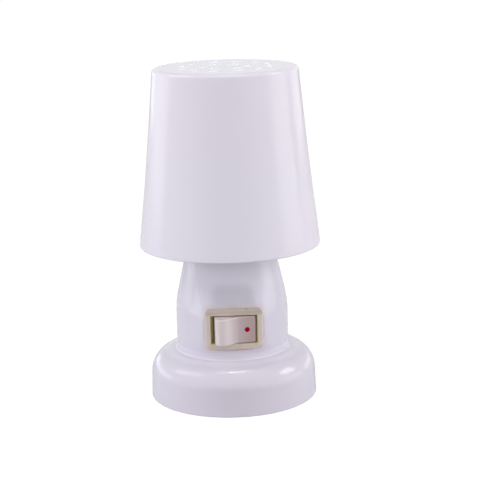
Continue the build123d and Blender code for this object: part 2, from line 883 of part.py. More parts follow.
def make_wire_line():
    """Wire from the left pin to the switch's middle terminal."""
    x = pin_sides["left"]
    terminal_end = switch_back + terminal_reach
    start = tag_front()
    return tube_along([
        (x, start, plug_height),
        (x, start - line_run, plug_height),
        (0, start - line_run - line_turn, (plug_height + switch_height) / 2),
        (0, terminal_end, switch_height),
    ], wire_radius, wire_bend)


def make_wire_switched():
    """Wire from the switch's load terminal up to the threaded shell's tab."""
    terminal_end = switch_back + terminal_reach
    tab_end = holder_bottom - tab_length
    back = terminal_end + switched_run
    return tube_along([
        (-terminal_offset, terminal_end, switch_height),
        (-terminal_offset, back, switch_height),
        (-side_tab_offset, back, switch_height + switched_step),
        (-side_tab_offset, tab_width / 4, tab_end - switched_rise),
        (-side_tab_offset, tab_width / 4, tab_end),
    ], wire_radius, wire_bend * 0.6)


def make_wire_neutral():
    """Wire from the right pin up to the centre contact's tab."""
    x = pin_sides["right"]
    start = tag_front()
    tab_end = holder_bottom - tab_length
    return tube_along([
        (x, start, plug_height),
        (x, start - neutral_run, plug_height),
        (centre_tab_offset, 0, tab_end - neutral_rise),
        (centre_tab_offset, 0, tab_end),
    ], wire_radius, wire_bend)


def build_nodes():
    """Every sub-part by its node name."""
    nodes = {
        "body_housing": make_body_housing(),
        "bottom_cover": make_bottom_cover(),
        "cover_screws": make_cover_screws(),
        "shade": make_shade(),
        "shade_collar": make_shade_collar(),
        "switch_housing": make_switch_housing(),
        "switch_rocker": make_rocker(),
        "rocker_dot": make_rocker_dot(),
        "rocker_plunger": make_plunger(),
        "plunger_spring": make_plunger_spring(),
        "contact_blade": make_contact_blade(),
        "middle_terminal": make_middle_terminal(),
        "load_terminal": make_load_terminal(),
        "plug_block": make_plug_block(),
        "plug_screws": make_plug_screws(),
        "lampholder_body": make_lampholder_body(),
        "lampholder_ring": make_lampholder_ring(),
        "lampholder_shell": make_lampholder_shell(),
        "lampholder_contact": make_lampholder_contact(),
        "lampholder_side_tab": make_lampholder_side_tab(),
        "bulb_glass": make_bulb_glass(),
        "bulb_cap": make_bulb_cap(),
        "bulb_insulator": make_bulb_insulator(),
        "bulb_contact": make_bulb_contact(),
        "bulb_cement": make_bulb_collar(),
        "bulb_stem": make_bulb_stem(),
        "bulb_leads": make_bulb_leads(),
        "bulb_filament": make_bulb_filament(),
        "wire_line": make_wire_line(),
        "wire_switched": make_wire_switched(),
        "wire_neutral": make_wire_neutral(),
    }
    for side, x in pin_sides.items():
        nodes[f"plug_pin_{side}"] = make_pin(x)
        nodes[f"pin_sleeve_{side}"] = make_pin_sleeve(x)
        nodes[f"pin_tag_{side}"] = make_pin_tag(x)
    return nodes


os.makedirs("parts", exist_ok=True)
for name, solid in build_nodes().items():
    export_step(solid, f"parts/{name}.step")
    print(name, round(solid.volume, 2))
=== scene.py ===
# %% [markdown]
# # A plug-in night light, dressed from its CAD frame
#
# The CAD model gives every size and every joint. This file builds what the eye
# sees: the opal mouldings, the switch, the plug and the small bulb, each in its
# exact place round that frame. It works in millimetres while it models, because
# that is how a toolmaker reads such a part, and turns each finished mesh into
# metres at the end.

# %% Load the frame
import math

import bmesh
import bpy
from mathutils import Matrix, Vector


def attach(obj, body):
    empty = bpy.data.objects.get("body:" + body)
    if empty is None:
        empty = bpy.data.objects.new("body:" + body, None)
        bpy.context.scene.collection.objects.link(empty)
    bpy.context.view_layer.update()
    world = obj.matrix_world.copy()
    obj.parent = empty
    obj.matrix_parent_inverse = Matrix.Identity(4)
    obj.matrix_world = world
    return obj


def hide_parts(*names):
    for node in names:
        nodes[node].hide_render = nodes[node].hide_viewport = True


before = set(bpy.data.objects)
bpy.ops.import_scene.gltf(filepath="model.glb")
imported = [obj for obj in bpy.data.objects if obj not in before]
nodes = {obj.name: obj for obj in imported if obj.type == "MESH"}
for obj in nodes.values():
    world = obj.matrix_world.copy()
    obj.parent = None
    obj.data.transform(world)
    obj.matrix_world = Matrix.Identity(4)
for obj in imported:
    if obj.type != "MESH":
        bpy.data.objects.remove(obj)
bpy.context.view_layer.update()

# %% [markdown]
# ## The camera
#
# The lamp is looked at from a little above, with a long lens, so its round edges
# show as flat ellipses. A camera can be aimed with a constraint or by its
# rotation. The rotation is written here as three turns: to the side, up, and a
# small roll, which is how a tripod head works.

# %% Camera
camera = bpy.data.objects.new("camera", bpy.data.cameras.new("camera"))
bpy.context.scene.collection.objects.link(camera)
camera.data.sensor_width = 36.0
camera.data.lens = 109.0
camera_orbit, camera_distance, camera_height = -1.5, 0.53506, 0.18096
camera_turn, camera_fall, camera_roll = -0.40357, 12.79925, -1.56139
camera.matrix_world = (
    Matrix.Rotation(math.radians(camera_orbit), 4, "Z")
    @ Matrix.Translation((0.0, -camera_distance, camera_height))
    @ Matrix.Rotation(math.radians(camera_turn), 4, "Z")
    @ Matrix.Rotation(math.radians(90.0 - camera_fall), 4, "X")
    @ Matrix.Rotation(math.radians(camera_roll), 4, "Z")
)
bpy.context.scene.camera = camera
print("camera at", tuple(round(v, 3) for v in camera.location))

# %% [markdown]
# ## Node helpers
#
# Materials and the world are trees of small nodes. Written out, their links fill
# a page and say little, so a few short functions do it: one adds a node, one does
# a sum, one stretches a range, and one chooses between two shaders.


# %% Helpers for node trees
def add(tree, kind, **values):
    """A node with its properties set, and its inputs by name where they aren't properties."""
    node = tree.nodes.new("ShaderNode" + kind)
    for key, value in values.items():
        if hasattr(node, key):
            setattr(node, key, value)
        else:
            node.inputs[key.replace("_", " ")].default_value = value
    return node


def joined(tree, node, *values):
    """The node, with its first inputs filled with sockets or plain values."""
    for socket, value in zip(node.inputs, values):
        if hasattr(value, "links"):
            tree.links.new(value, socket)
        else:
            socket.default_value = value
    return node


def maths(tree, operation, *values):
    """A sum on sockets or numbers."""
    return joined(tree, add(tree, "Math", operation=operation), *values).outputs[0]


def scaled(tree, value, factor):
    """A socket times a number or another socket."""
    return maths(tree, "MULTIPLY", value, factor)


def remapped(tree, value, old=(0.0, 1.0), new=(0.0, 1.0)):
    """One range stretched over another, and held at its ends."""
    node = add(tree, "MapRange", From_Min=old[0], From_Max=old[1], To_Min=new[0], To_Max=new[1])
    tree.links.new(value, node.inputs["Value"])
    return node.outputs[0]


def either(tree, factor, first, second):
    """The first shader where the factor is 0, and the second where it is 1."""
    return joined(tree, add(tree, "MixShader"), factor, first, second).outputs[0]


print("helpers: add, joined, maths, scaled, remapped, either")

# %% [markdown]
# Several finishes change with their place on the lamp. Every piece's object sits
# at the origin, so Object coordinates are the lamp's own, in metres, and Z is the
# height over the table.


# %% Places on the lamp
def place_of(tree):
    """X, Y and Z of the piece's own coordinates."""
    parts = add(tree, "SeparateXYZ")
    tree.links.new(add(tree, "TexCoord").outputs["Object"], parts.inputs[0])
    return parts.outputs


def span(tree, *sides):
    """The length of a vector with these components."""
    vector = joined(tree, add(tree, "CombineXYZ"), *sides).outputs[0]
    return joined(tree, add(tree, "VectorMath", operation="LENGTH"), vector).outputs["Value"]


def ramp(tree, value, start, end):
    """A smooth mask that is 1 at the start value and 0 at the end value."""
    node = add(tree, "MapRange", interpolation_type="SMOOTHSTEP", From_Min=end, From_Max=start)
    tree.links.new(value, node.inputs["Value"])
    return node.outputs[0]


def band(tree, value, start, full, fade, end):
    """A smooth mask that rises from start to full and falls again from fade to end."""
    return scaled(tree, ramp(tree, value, full, start), ramp(tree, value, fade, end))


print("helpers: place_of, span, ramp, band")

# %% [markdown]
# ## The studio
#
# A glossy white moulding only shows its form if the room round it isn't the same
# everywhere, so the room is brighter in front than behind and darker above. It is
# white only to the camera, to mirrors and through glass. The light that falls on
# the lamp is plain and moderate.

# %% World
world = bpy.data.worlds.new("studio")
bpy.context.scene.world = world
world.use_nodes = True
sky = world.node_tree
sky.nodes.clear()
direction = add(sky, "SeparateXYZ")
sky.links.new(add(sky, "TexCoord").outputs["Generated"], direction.inputs[0])
front_light, back_gain, side_gain, top_gain = 1.28, -0.41, -0.07, -1.20
upward = maths(sky, "MAXIMUM", direction.outputs["Z"], 0.0)
room = maths(sky, "MULTIPLY_ADD", direction.outputs["Y"], back_gain, front_light)
room = maths(sky, "MULTIPLY_ADD", direction.outputs["X"], side_gain, room)
room = maths(sky, "MULTIPLY_ADD", upward, top_gain, room)
white, room_tone = (1.0, 1.0, 1.0, 1.0), (0.985, 0.975, 0.99, 1.0)
lit = add(sky, "Background", Color=room_tone)
sky.links.new(room, lit.inputs["Strength"])
seen = add(sky, "Background", Color=white)
path = add(sky, "LightPath").outputs
mirrored = maths(sky, "MAXIMUM", path["Is Glossy Ray"], path["Is Transmission Ray"])
looked_at = maths(sky, "MAXIMUM", path["Is Camera Ray"], mirrored)
background = either(sky, looked_at, lit.outputs[0], seen.outputs[0])
joined(sky, add(sky, "OutputWorld"), background)
bpy.context.scene.view_settings.view_transform = "Standard"
print("world: light from the front", front_light)

# %% [markdown]
# Soft boxes draw the light bands and patches. Four low ones, beside and behind
# the lamp, light the sides of the shade. Two brighter ones stand higher and show
# as a patch at each end of the base's shoulder, and a narrow strip overhead draws
# the thin line between the patches. Each lamp is set by its direction from the
# middle of the night light, because that is how one walks it round a set.


# %% Lamps
lamp_middle = Vector((0.0, 0.0, 0.07))
cool, warm, neutral = (0.86, 0.96, 1.0), (0.98, 1.0, 0.95), (1.0, 1.0, 1.0)


def soft_lamp(name, azimuth, elevation, size, radiance, colour=neutral, distance=1.0, roll=0.0):
    """A soft box that looks at the middle of the lamp. Azimuth 0 is the viewer's side."""
    light = bpy.data.lights.new(name, "AREA")
    light.shape = "RECTANGLE"
    light.size, light.size_y = size
    light.energy = radiance * math.pi * size[0] * size[1]
    light.color = colour
    lamp = bpy.data.objects.new(name, light)
    bpy.context.scene.collection.objects.link(lamp)
    a, e = math.radians(azimuth), math.radians(elevation)
    out = Vector((math.sin(a) * math.cos(e), -math.cos(a) * math.cos(e), math.sin(e)))
    aim = out.to_track_quat("Z", "Y").to_matrix().to_4x4() @ Matrix.Rotation(math.radians(roll), 4, "Z")
    lamp.matrix_world = Matrix.Translation(lamp_middle + out * distance) @ aim
    return lamp


studio = [
    soft_lamp("soft_left", -114.0, 2.0, (0.60, 0.22), 1.30, cool),
    soft_lamp("soft_right", 86.0, 2.0, (0.62, 0.22), 1.18, warm),
    soft_lamp("back_left", -145.0, 2.0, (0.40, 0.18), 1.20, cool),
    soft_lamp("back_right", 131.0, 2.0, (0.50, 0.18), 0.95, warm),
    soft_lamp("left_core", -86.0, 40.0, (0.70, 0.30), 2.2, distance=0.98, roll=30.0),
    soft_lamp("right_core", 88.0, 28.0, (0.36, 0.30), 4.5, distance=0.98),
    soft_lamp("overhead_strip", 0.0, 79.0, (0.50, 0.02), 43.0, distance=1.05),
]
print("lamps:", len(studio))

# %% [markdown]
# ## The floor
#
# A cut-out product shot has no visible table, yet a lamp that throws no shadow
# seems to float. The floor is therefore white to the camera and takes only a
# faint part of the real shading. For all other rays it is a plain surface that
# is grey in front and lighter behind, like a card laid before the lamp. That
# keeps the front of the base darker than its sides. From below it can be looked
# through, and the disc that the base hides is clear, so the lid gets light too.

# %% Floor
floor_half = 6.0
bm = bmesh.new()
bmesh.ops.create_grid(bm, x_segments=1, y_segments=1, size=floor_half)
mesh = bpy.data.meshes.new("floor")
bm.to_mesh(mesh)
bm.free()
floor = bpy.data.objects.new("floor", mesh)
bpy.context.scene.collection.objects.link(floor)
print("floor:", 2 * floor_half, "m square")

# %% [markdown]
# The floor's paint asks which ray it meets. The camera sees a glow with a little
# real shading in it, every other ray meets the card, and the back of the floor
# and the disc under the base are clear.

# %% Floor paint
card_front, card_back, card_wedge = -0.075, 0.05, 1.2
card_tones, shadow_share, glow_level, clear_radius = (0.12, 0.95), 0.86, 1.10, 0.0305
paint = bpy.data.materials.new("floor_white")
paint.use_nodes = True
tree = paint.node_tree
tree.nodes.clear()
spot = place_of(tree)
depth_line = maths(tree, "MULTIPLY_ADD", maths(tree, "ABSOLUTE", spot["X"]), card_wedge, spot["Y"])
card = add(tree, "BsdfDiffuse")
tree.links.new(remapped(tree, depth_line, (card_front, card_back), card_tones), card.inputs["Color"])
shadow_taker = add(tree, "BsdfDiffuse", Color=white)
glow = add(tree, "Emission", Color=white, Strength=glow_level)
table = either(tree, shadow_share, shadow_taker.outputs[0], glow.outputs[0])
rays = add(tree, "LightPath").outputs
looked_at = maths(tree, "MAXIMUM", rays["Is Camera Ray"], rays["Is Transmission Ray"])
from_above = either(tree, looked_at, card.outputs[0], table)
under_base = maths(tree, "LESS_THAN", span(tree, spot["X"], spot["Y"]), clear_radius)
open_floor = maths(tree, "MAXIMUM", under_base, add(tree, "NewGeometry").outputs["Backfacing"])
surface = either(tree, open_floor, from_above, add(tree, "BsdfTransparent").outputs[0])
joined(tree, add(tree, "OutputMaterial"), surface)
mesh.materials.append(paint)
print("floor paint:", len(tree.nodes), "nodes")

# %% [markdown]
# ## Effects that several finishes share
#
# Moulded plastic is never perfectly even: its skin flows a little as it cools,
# its tone drifts, and handling leaves fine dust and hairlines. Metal from a die
# or a lathe carries streaks along one direction. Each effect is a node group with
# named inputs, built once, so every finish below sets only its own values.


# %% Helpers for node groups
def new_group(name, inputs, outputs):
    """An empty shader group: inputs are (name, default), outputs are (name, kind)."""
    group = bpy.data.node_groups.new(name, "ShaderNodeTree")
    for label, value in inputs:
        socket = group.interface.new_socket(label, in_out="INPUT", socket_type="NodeSocketFloat")
        socket.default_value = value
    for label, kind in outputs:
        group.interface.new_socket(label, in_out="OUTPUT", socket_type="NodeSocket" + kind)
    return group, group.nodes.new("NodeGroupInput"), group.nodes.new("NodeGroupOutput")


def textured(tree, kind, stretch=None, turned=(0.0, 0.0, 0.0), **values):
    """A texture on the piece's own coordinates, stretched and turned where that is given."""
    place = add(tree, "TexCoord").outputs["Object"]
    if stretch:
        mapping = add(tree, "Mapping", Rotation=turned, Scale=stretch)
        tree.links.new(place, mapping.inputs["Vector"])
        place = mapping.outputs[0]
    node = add(tree, "Tex" + kind, **values)
    tree.links.new(place, node.inputs["Vector"])
    return node.outputs


def placed_group(tree, group, **values):
    """A group node with its own values, as its outputs."""
    node = tree.nodes.new("ShaderNodeGroup")
    node.node_tree = group
    for key, value in values.items():
        node.inputs[key.replace("_", " ")].default_value = value
    return node.outputs


print("helpers: new_group, textured, placed_group")

# %% [markdown]
# **Moulded skin.** The real surface is polished tool steel copied in plastic. It
# could be one noise texture, but two scales read better: slow waves where the
# wall shrank, and a very fine grain. Both go into one height.

# %% Moulded skin
moulded_skin, given, result = new_group(
    "moulded_skin",
    [("Wave", 1.0), ("Grain", 1.0)],
    [("Height", "Float"), ("Tone", "Float"), ("Polish", "Float")],
)
grain_share = 0.02
waves = textured(moulded_skin, "Noise", Scale=55.0, Detail=2.0, Roughness=0.4)["Fac"]
grain = textured(moulded_skin, "Noise", Scale=2600.0, Detail=2.0, Roughness=0.6)["Fac"]
tone = textured(moulded_skin, "Noise", Scale=17.0, Detail=1.5, Roughness=0.5)["Fac"]
polish = textured(moulded_skin, "Noise", Scale=160.0, Detail=4.0, Roughness=0.65)["Fac"]
slow = scaled(moulded_skin, waves, given.outputs["Wave"])
fine = scaled(moulded_skin, scaled(moulded_skin, grain, given.outputs["Grain"]), grain_share)
joined(moulded_skin, result, maths(moulded_skin, "ADD", slow, fine), tone, polish)
print("group:", moulded_skin.name)

# %% [markdown]
# **Handling.** Years on a bedside table leave dust in specks and hairline
# scratches. The hairlines are a noise that is stretched along one direction and
# cut to its thin crests; the specks are the small cores of a cell pattern.

# %% Handling
handling, given, result = new_group(
    "handling",
    [("Hairlines", 0.3), ("Dust", 0.3)],
    [("Scratch", "Float"), ("Speck", "Float")],
)
hairline_stretch, hairline_turn = (900.0, 35.0, 60.0), (0.4, 0.9, 0.3)
lines = textured(
    handling, "Noise", hairline_stretch, hairline_turn, Scale=1.0, Detail=1.0, Roughness=0.4,
)["Fac"]
crest = remapped(handling, lines, (0.70, 0.78))
core = remapped(handling, textured(handling, "Voronoi", Scale=420.0)["Distance"], (0.085, 0.04))
scratch = scaled(handling, crest, given.outputs["Hairlines"])
joined(handling, result, scratch, scaled(handling, core, given.outputs["Dust"]))
print("group:", handling.name)

# %% [markdown]
# **Drawn metal.** Pins, tags and shells are drawn or turned, which leaves streaks
# round or along the piece. A noise squeezed along Z gives fine lines, and a slow
# one dulls the metal in patches where fingers or heat have been.

# %% Drawn metal
drawn_metal, given, result = new_group(
    "drawn_metal",
    [("Streaks", 1.0), ("Tarnish", 0.5)],
    [("Line", "Float"), ("Patch", "Float")],
)
streak_stretch = (300.0, 300.0, 5200.0)
lines = textured(drawn_metal, "Noise", streak_stretch, Scale=1.0, Detail=3.0, Roughness=0.6)["Fac"]
patches = textured(drawn_metal, "Noise", Scale=260.0, Detail=3.0, Roughness=0.6)["Fac"]
streak = scaled(drawn_metal, lines, given.outputs["Streaks"])
joined(drawn_metal, result, streak, scaled(drawn_metal, patches, given.outputs["Tarnish"]))
print("group:", drawn_metal.name)

# %% [markdown]
# ## The plastics
#
# All the mouldings share one recipe: a base colour that drifts between two close
# tones, a polish that varies a little, dust that lightens it and a bump from the
# skin and the hairlines. Only the numbers differ, so the recipe is one function.


# %% Recipe for plastics
def mixed(tree, low, high, factor):
    """A colour between two, by a socket."""
    node = add(tree, "Mix", data_type="RGBA")
    for socket, colour in ((6, low), (7, high)):
        if hasattr(colour, "links"):
            tree.links.new(colour, node.inputs[socket])
        else:
            node.inputs[socket].default_value = (*colour, 1.0)
    tree.links.new(factor, node.inputs[0])
    return node.outputs[2]


def bumped(tree, shader, height, strength, distance):
    """Gives the shader's surface a fine relief."""
    bump = add(tree, "Bump", Strength=strength, Distance=distance)
    tree.links.new(height, bump.inputs["Height"])
    tree.links.new(bump.outputs[0], shader.inputs["Normal"])


def new_finish(name):
    """An empty material, with its tree and its shader."""
    material = bpy.data.materials.new(name)
    material.use_nodes = True
    tree = material.node_tree
    return material, tree, tree.nodes["Principled BSDF"]


print("helpers: mixed, bumped, new_finish")

# %% [markdown]
# The tones are written as linear values. Dust pulls the colour half way to a mid
# grey, a hairline makes the surface a little rougher and lies a little deeper,
# and the light that soaks in is set by a depth in millimetres. A finish can pass
# two functions of its own: one that changes the colour from place to place, and
# one that says where it is matt.

# %% Plastic
tone_range, dust_grey, dust_cover = (0.35, 0.65), 0.6, 0.5
gloss_low, gloss_high, hairline_rough, hairline_depth = 0.8, 1.25, 0.25, -0.03
matt_rough, skin_strength, skin_depth = 0.5, 0.35, 0.0003
soak_share, soak_tint, plastic_ior = 0.5, (1.0, 0.9, 1.0), 1.5


def plastic(name, tones, roughness, wave=0.4, grain=0.3, hairlines=0.25, dust=0.25,
            depth=0.0, extra=None, matt=None):
    """A moulded plastic. Tones are two close colours; depth is how far light soaks in, in millimetres."""
    material, tree, shader = new_finish(name)
    skin = placed_group(tree, moulded_skin, Wave=wave, Grain=grain)
    marks = placed_group(tree, handling, Hairlines=hairlines, Dust=dust)
    colour = mixed(tree, *tones, remapped(tree, skin["Tone"], tone_range))
    if extra:
        colour = extra(tree, colour)
    greyed = tuple(0.5 * (t + dust_grey) for t in tones[0])
    dusty = mixed(tree, colour, greyed, scaled(tree, marks["Speck"], dust_cover))
    tree.links.new(dusty, shader.inputs["Base Color"])
    gloss = remapped(tree, skin["Polish"], new=(roughness * gloss_low, roughness * gloss_high))
    rough = maths(tree, "MULTIPLY_ADD", marks["Scratch"], hairline_rough, gloss)
    if matt:
        rough = maths(tree, "MULTIPLY_ADD", matt(tree), matt_rough, rough)
    tree.links.new(rough, shader.inputs["Roughness"])
    relief = maths(tree, "MULTIPLY_ADD", marks["Scratch"], hairline_depth, skin["Height"])
    bumped(tree, shader, relief, skin_strength, skin_depth)
    if depth:
        shader.inputs["Subsurface Weight"].default_value = soak_share
        shader.inputs["Subsurface Radius"].default_value = soak_tint
        shader.inputs["Subsurface Scale"].default_value = depth * 0.001
    shader.inputs["IOR"].default_value = plastic_ior
    return material


print("recipe: plastic")

# %% [markdown]
# ** Distance from the switch.** Two finishes change round the switch: the body wall
# beside it carries a painted warm glow of the cream plastic and a strip of painted
# shade, and the bezel is yellower at its well, with painted shade inside it. Both
# need the distance from a rectangle in X and Z, so that sum is a group too. Its
# result is in metres, and zero inside the rectangle.


# %% Distance from a rectangle
switch_z = 30.8
switch_distance, given, result = new_group(
    "switch_distance", [("Half Width", 0.01), ("Half Height", 0.007)], [("Distance", "Float")],
)
parts, sides = place_of(switch_distance), []
for axis, middle, half in (("X", 0.0, "Half Width"), ("Z", switch_z * 0.001, "Half Height")):
    size = maths(switch_distance, "ABSOLUTE", maths(switch_distance, "SUBTRACT", parts[axis], middle))
    beyond = maths(switch_distance, "SUBTRACT", size, given.outputs[half])
    sides.append(maths(switch_distance, "MAXIMUM", beyond, 0.0))
joined(switch_distance, result, span(switch_distance, *sides))


def from_switch(tree, half_width, half_height):
    """How far a place is from a rectangle round the middle of the switch."""
    return placed_group(tree, switch_distance, Half_Width=half_width, Half_Height=half_height)["Distance"]


print("group:", switch_distance.name)

# %% [markdown]
# ** Opal body.** The body and the shade are milky polypropylene, faintly lavender
# with rosier drifts. Light soaks in for a millimetre or two, which softens every
# edge. The body's tones are painted darker than the shade's, as painted shade for
# its thick, closed wall. The neck is painted paler, as painted light under the
# shade, and so is the top of the base, where the foot would fall in shade. A strip
# over the switch is painted darker, as painted shade, and a painted warm glow of
# the cream bezel lies on the wall beside it. The corner at the foot stays matt,
# because no cloth reaches it. A reach is written from where an effect is full to
# where it ends, in metres, and a band has four such places.


# %% Opal body
def body_painted_light_and_shade(tree, colour):
    """Paints light on the neck and the top of the base, shade in a strip over the switch, and a warm glow
    beside the bezel.
    """
    parts = place_of(tree)
    height, front = parts["Z"], ramp(tree, parts["Y"], *front_reach)
    colour = mixed(tree, colour, painted_neck_light, ramp(tree, height, *neck_reach))
    colour = mixed(tree, colour, painted_base_top_light, band(tree, height, *base_top_band))
    strip = ramp(tree, from_switch(tree, *strip_half), *strip_reach)
    over = scaled(tree, strip, ramp(tree, height, *strip_foot_reach))
    colour = mixed(tree, colour, painted_switch_shade, scaled(tree, over, front))
    near = ramp(tree, from_switch(tree, *halo_half), *halo_reach)
    return mixed(tree, colour, painted_bezel_glow, scaled(tree, scaled(tree, near, front), halo_share))


def foot_corner(tree):
    """A mask of the corner where the body meets the base."""
    return band(tree, place_of(tree)["Z"], *corner_band)


front_reach, neck_reach = (-0.0150, -0.0120), (0.0515, 0.0430)
base_top_band, corner_band = (0.0172, 0.0184, 0.0187, 0.0194), (0.01855, 0.01875, 0.0206, 0.0214)
# The strip over the switch is painted shade on the wall above the bezel.
strip_half, strip_reach, strip_foot_reach = (0.0045, 0.0125), (0.0010, 0.0050), (0.0385, 0.0365)
# The halo beside the bezel is a painted warm glow of the cream plastic.
halo_half, halo_reach, halo_share = (0.0100, 0.0070), (0.0, 0.0030), 0.8
# The body's tones are the shade's, painted darker, as painted shade for the thick, closed wall.
deeper, rosier = (0.77, 0.745, 0.85), (0.775, 0.73, 0.83)
# Painted light: a paler neck under the shade, and a paler top of the base where the foot would be in shade.
painted_neck_light, painted_base_top_light = (0.86, 0.83, 0.94), (0.88, 0.85, 0.97)
# Painted shade over the switch, and a painted warm glow beside the bezel.
painted_switch_shade, painted_bezel_glow = (0.675, 0.65, 0.74), (0.72, 0.66, 0.66)
opal_body = plastic(
    "opal_body", (deeper, rosier), 0.12, wave=0.25, dust=0.3, depth=1.6,
    extra=body_painted_light_and_shade, matt=foot_corner,
)
print("opal body done")

# %% [markdown]
# ** Opal shade.** The shade is the same plastic, painted paler than the body, as
# painted light for its thin wall. Its flat top is painted greyer, as painted shade.
# The walls of the vents carry a painted glow, a weak emission for the light through
# their thin edges; without it they would look like black dots.


# %% Opal shade
def lampshade_painted_shade_and_glow(tree, colour):
    """Paints shade on the flat top, and a painted glow on the walls of the vents."""
    parts = place_of(tree)
    walls = band(tree, parts["Z"], *wall_band)
    walls = scaled(tree, walls, ramp(tree, span(tree, parts["X"], parts["Y"]), *vents_reach))
    shader = tree.nodes["Principled BSDF"]
    # Painted glow: a weak emission on the vent walls, which are no lamp.
    tree.links.new(mixed(tree, dark, painted_glow_tint, walls), shader.inputs["Emission Color"])
    shader.inputs["Emission Strength"].default_value = painted_vent_glow
    # Painted shade: the flat top is greyer.
    return mixed(tree, colour, painted_top_shade, ramp(tree, parts["Z"], *top_reach))


wall_band, vents_reach = (0.12355, 0.12365, 0.12490, 0.12498), (0.0205, 0.0215)
top_reach, painted_vent_glow = (0.12495, 0.12470), 0.24
# The shade's tones are the body's, painted paler as painted light; the third tone is painted shade on the
# flat top.
lavender, rose, painted_top_shade = (0.86, 0.83, 0.95), (0.87, 0.815, 0.92), (0.77, 0.76, 0.86)
dark, painted_glow_tint = (0.0, 0.0, 0.0), (0.97, 0.97, 1.0)
opal_shade = plastic(
    "opal_shade", (lavender, rose), 0.14, wave=0.35, dust=0.15, depth=1.6, extra=lampshade_painted_shade_and_glow,
)
print("opal shade done")

# %% [markdown]
# **Satin mouldings.** The lid, the plug and the sleeves of its pins are harder
# plastics with a spark-eroded, satin skin, so they only need more grain and a
# duller surface.

# %% Satin plastics
cover_satin = plastic("cover_satin", ((0.76, 0.74, 0.80), (0.74, 0.70, 0.76)), 0.42, grain=1.2)
plug_satin = plastic("plug_satin", ((0.80, 0.78, 0.84), (0.78, 0.74, 0.80)), 0.34, grain=0.9)
sleeve_satin = plastic("sleeve_satin", ((0.78, 0.77, 0.82), (0.74, 0.73, 0.78)), 0.45, grain=0.8)
print("satin plastics: 3")

# %% [markdown]
# ** Bezel.** The bezel has yellowed most at the lip of its well, where the plastic
# is thin. Inside the well it is painted olive, as painted shade. The bars over
# and under the well are painted darker, the upper one more, as painted shade.


# %% Bezel
def lip_tint_and_painted_shade(tree, colour):
    """Turns the bezel cream at the lip of the well, and paints shade in olive inside it and on its two bars.
    """
    parts = place_of(tree)
    top, foot = (0.001 * (switch_z + side * bar_place) for side in (1, -1))
    # Painted shade on the bars over and under the well, the upper one more.
    colour = mixed(tree, colour, painted_top_bar_shade, ramp(tree, parts["Z"], top + bar_fade, top - bar_fade))
    colour = mixed(tree, colour, painted_foot_bar_shade, ramp(tree, parts["Z"], foot - bar_fade, foot + bar_fade))
    from_well = from_switch(tree, *well_half)
    colour = mixed(tree, colour, lip_cream, scaled(tree, ramp(tree, from_well, *lip_reach), lip_share))
    # Painted shade: olive inside the well.
    inside = ramp(tree, parts["Y"], *inside_reach)
    inside = scaled(tree, inside, ramp(tree, from_well, *wall_reach))
    return mixed(tree, colour, painted_well_shade, inside)


bar_place, bar_fade = 5.6, 0.0006
well_half, lip_reach, lip_share = (0.00845, 0.0052), (0.00015, 0.0007), 0.85
inside_reach, wall_reach = (-0.0214, -0.0219), (0.0003, 0.0008)
# Painted shade tones for the upper and the lower bar.
painted_top_bar_shade, painted_foot_bar_shade = (0.64, 0.545, 0.485), (0.76, 0.655, 0.585)
# The olive is painted shade inside the well.
lip_cream, painted_well_shade = (0.72, 0.62, 0.38), (0.62, 0.52, 0.20)
cream_tones = ((0.775, 0.71, 0.675), (0.79, 0.71, 0.68))
bezel_cream = plastic("bezel_cream", cream_tones, 0.28, depth=0.6, extra=lip_tint_and_painted_shade)
print("bezel done")

# %% [markdown]
# ** Rocker and marker.** The rocker is a paler rosy white. Its flat wing is painted
# greyer, most at its end, as painted shade. Its marker is red lacquer with a low
# shine, so that it stays red from every side.


# %% Rocker and marker
def shaded_flat_wing(tree, colour):
    """Paints shade on the flat wing of the rocker, most at its end."""
    along = place_of(tree)["X"]
    wing = mixed(tree, colour, painted_wing_shade, ramp(tree, along, *wing_reach))
    return mixed(tree, wing, painted_wing_end_shade, ramp(tree, along, *end_reach))


wing_reach, end_reach = (0.0008, -0.0026), (0.0068, 0.0008)
# Painted shade on the flat wing and at its end.
painted_wing_shade, painted_wing_end_shade = (0.662, 0.565, 0.572), (0.575, 0.435, 0.44)
rosy_tones = ((0.835, 0.75, 0.765), (0.81, 0.725, 0.74))
rocker_white = plastic("rocker_white", rosy_tones, 0.20, depth=0.6, extra=shaded_flat_wing)
marker_red = plastic("marker_red", ((0.37, 0.001, 0.016), (0.30, 0.001, 0.013)), 0.15, dust=0.0)
marker_red.node_tree.nodes["Principled BSDF"].inputs["Specular IOR Level"].default_value = 0.2
print("rocker and marker done")

# %% [markdown]
# **Inside.** The lampholder is pressed phenolic, warm white and duller, because it
# has to stand the heat of the bulb. The bulb's cap is closed with black glass and
# held with a coarse brown cement, and the wires are sleeved in brown and blue.

# %% Plastics inside
holder_phenolic = plastic("holder_phenolic", ((0.74, 0.71, 0.65), (0.70, 0.66, 0.59)), 0.5, grain=1.5)
foot_glass = plastic("foot_glass", ((0.015, 0.015, 0.02), (0.03, 0.03, 0.035)), 0.12, dust=0.2)
cement = plastic("cement", ((0.60, 0.52, 0.38), (0.48, 0.40, 0.28)), 0.85, grain=6.0)
wire_brown = plastic("wire_brown", ((0.20, 0.08, 0.035), (0.16, 0.06, 0.025)), 0.35)
wire_blue = plastic("wire_blue", ((0.03, 0.12, 0.46), (0.025, 0.10, 0.38)), 0.35)
print("plastics inside: 5")

# %% [markdown]
# ## The metals
#
# Metals take their colour from their reflection, so the base colour stays clean
# and the life is in the roughness: streaks from drawing, duller patches from
# handling, and a brownish tarnish mixed in where the patch is strongest.


# %% Recipe for metals
patch_range, metal_low, metal_high = (0.5, 0.8), 0.7, 1.5
streak_strength, streak_depth = 0.12, 0.0002


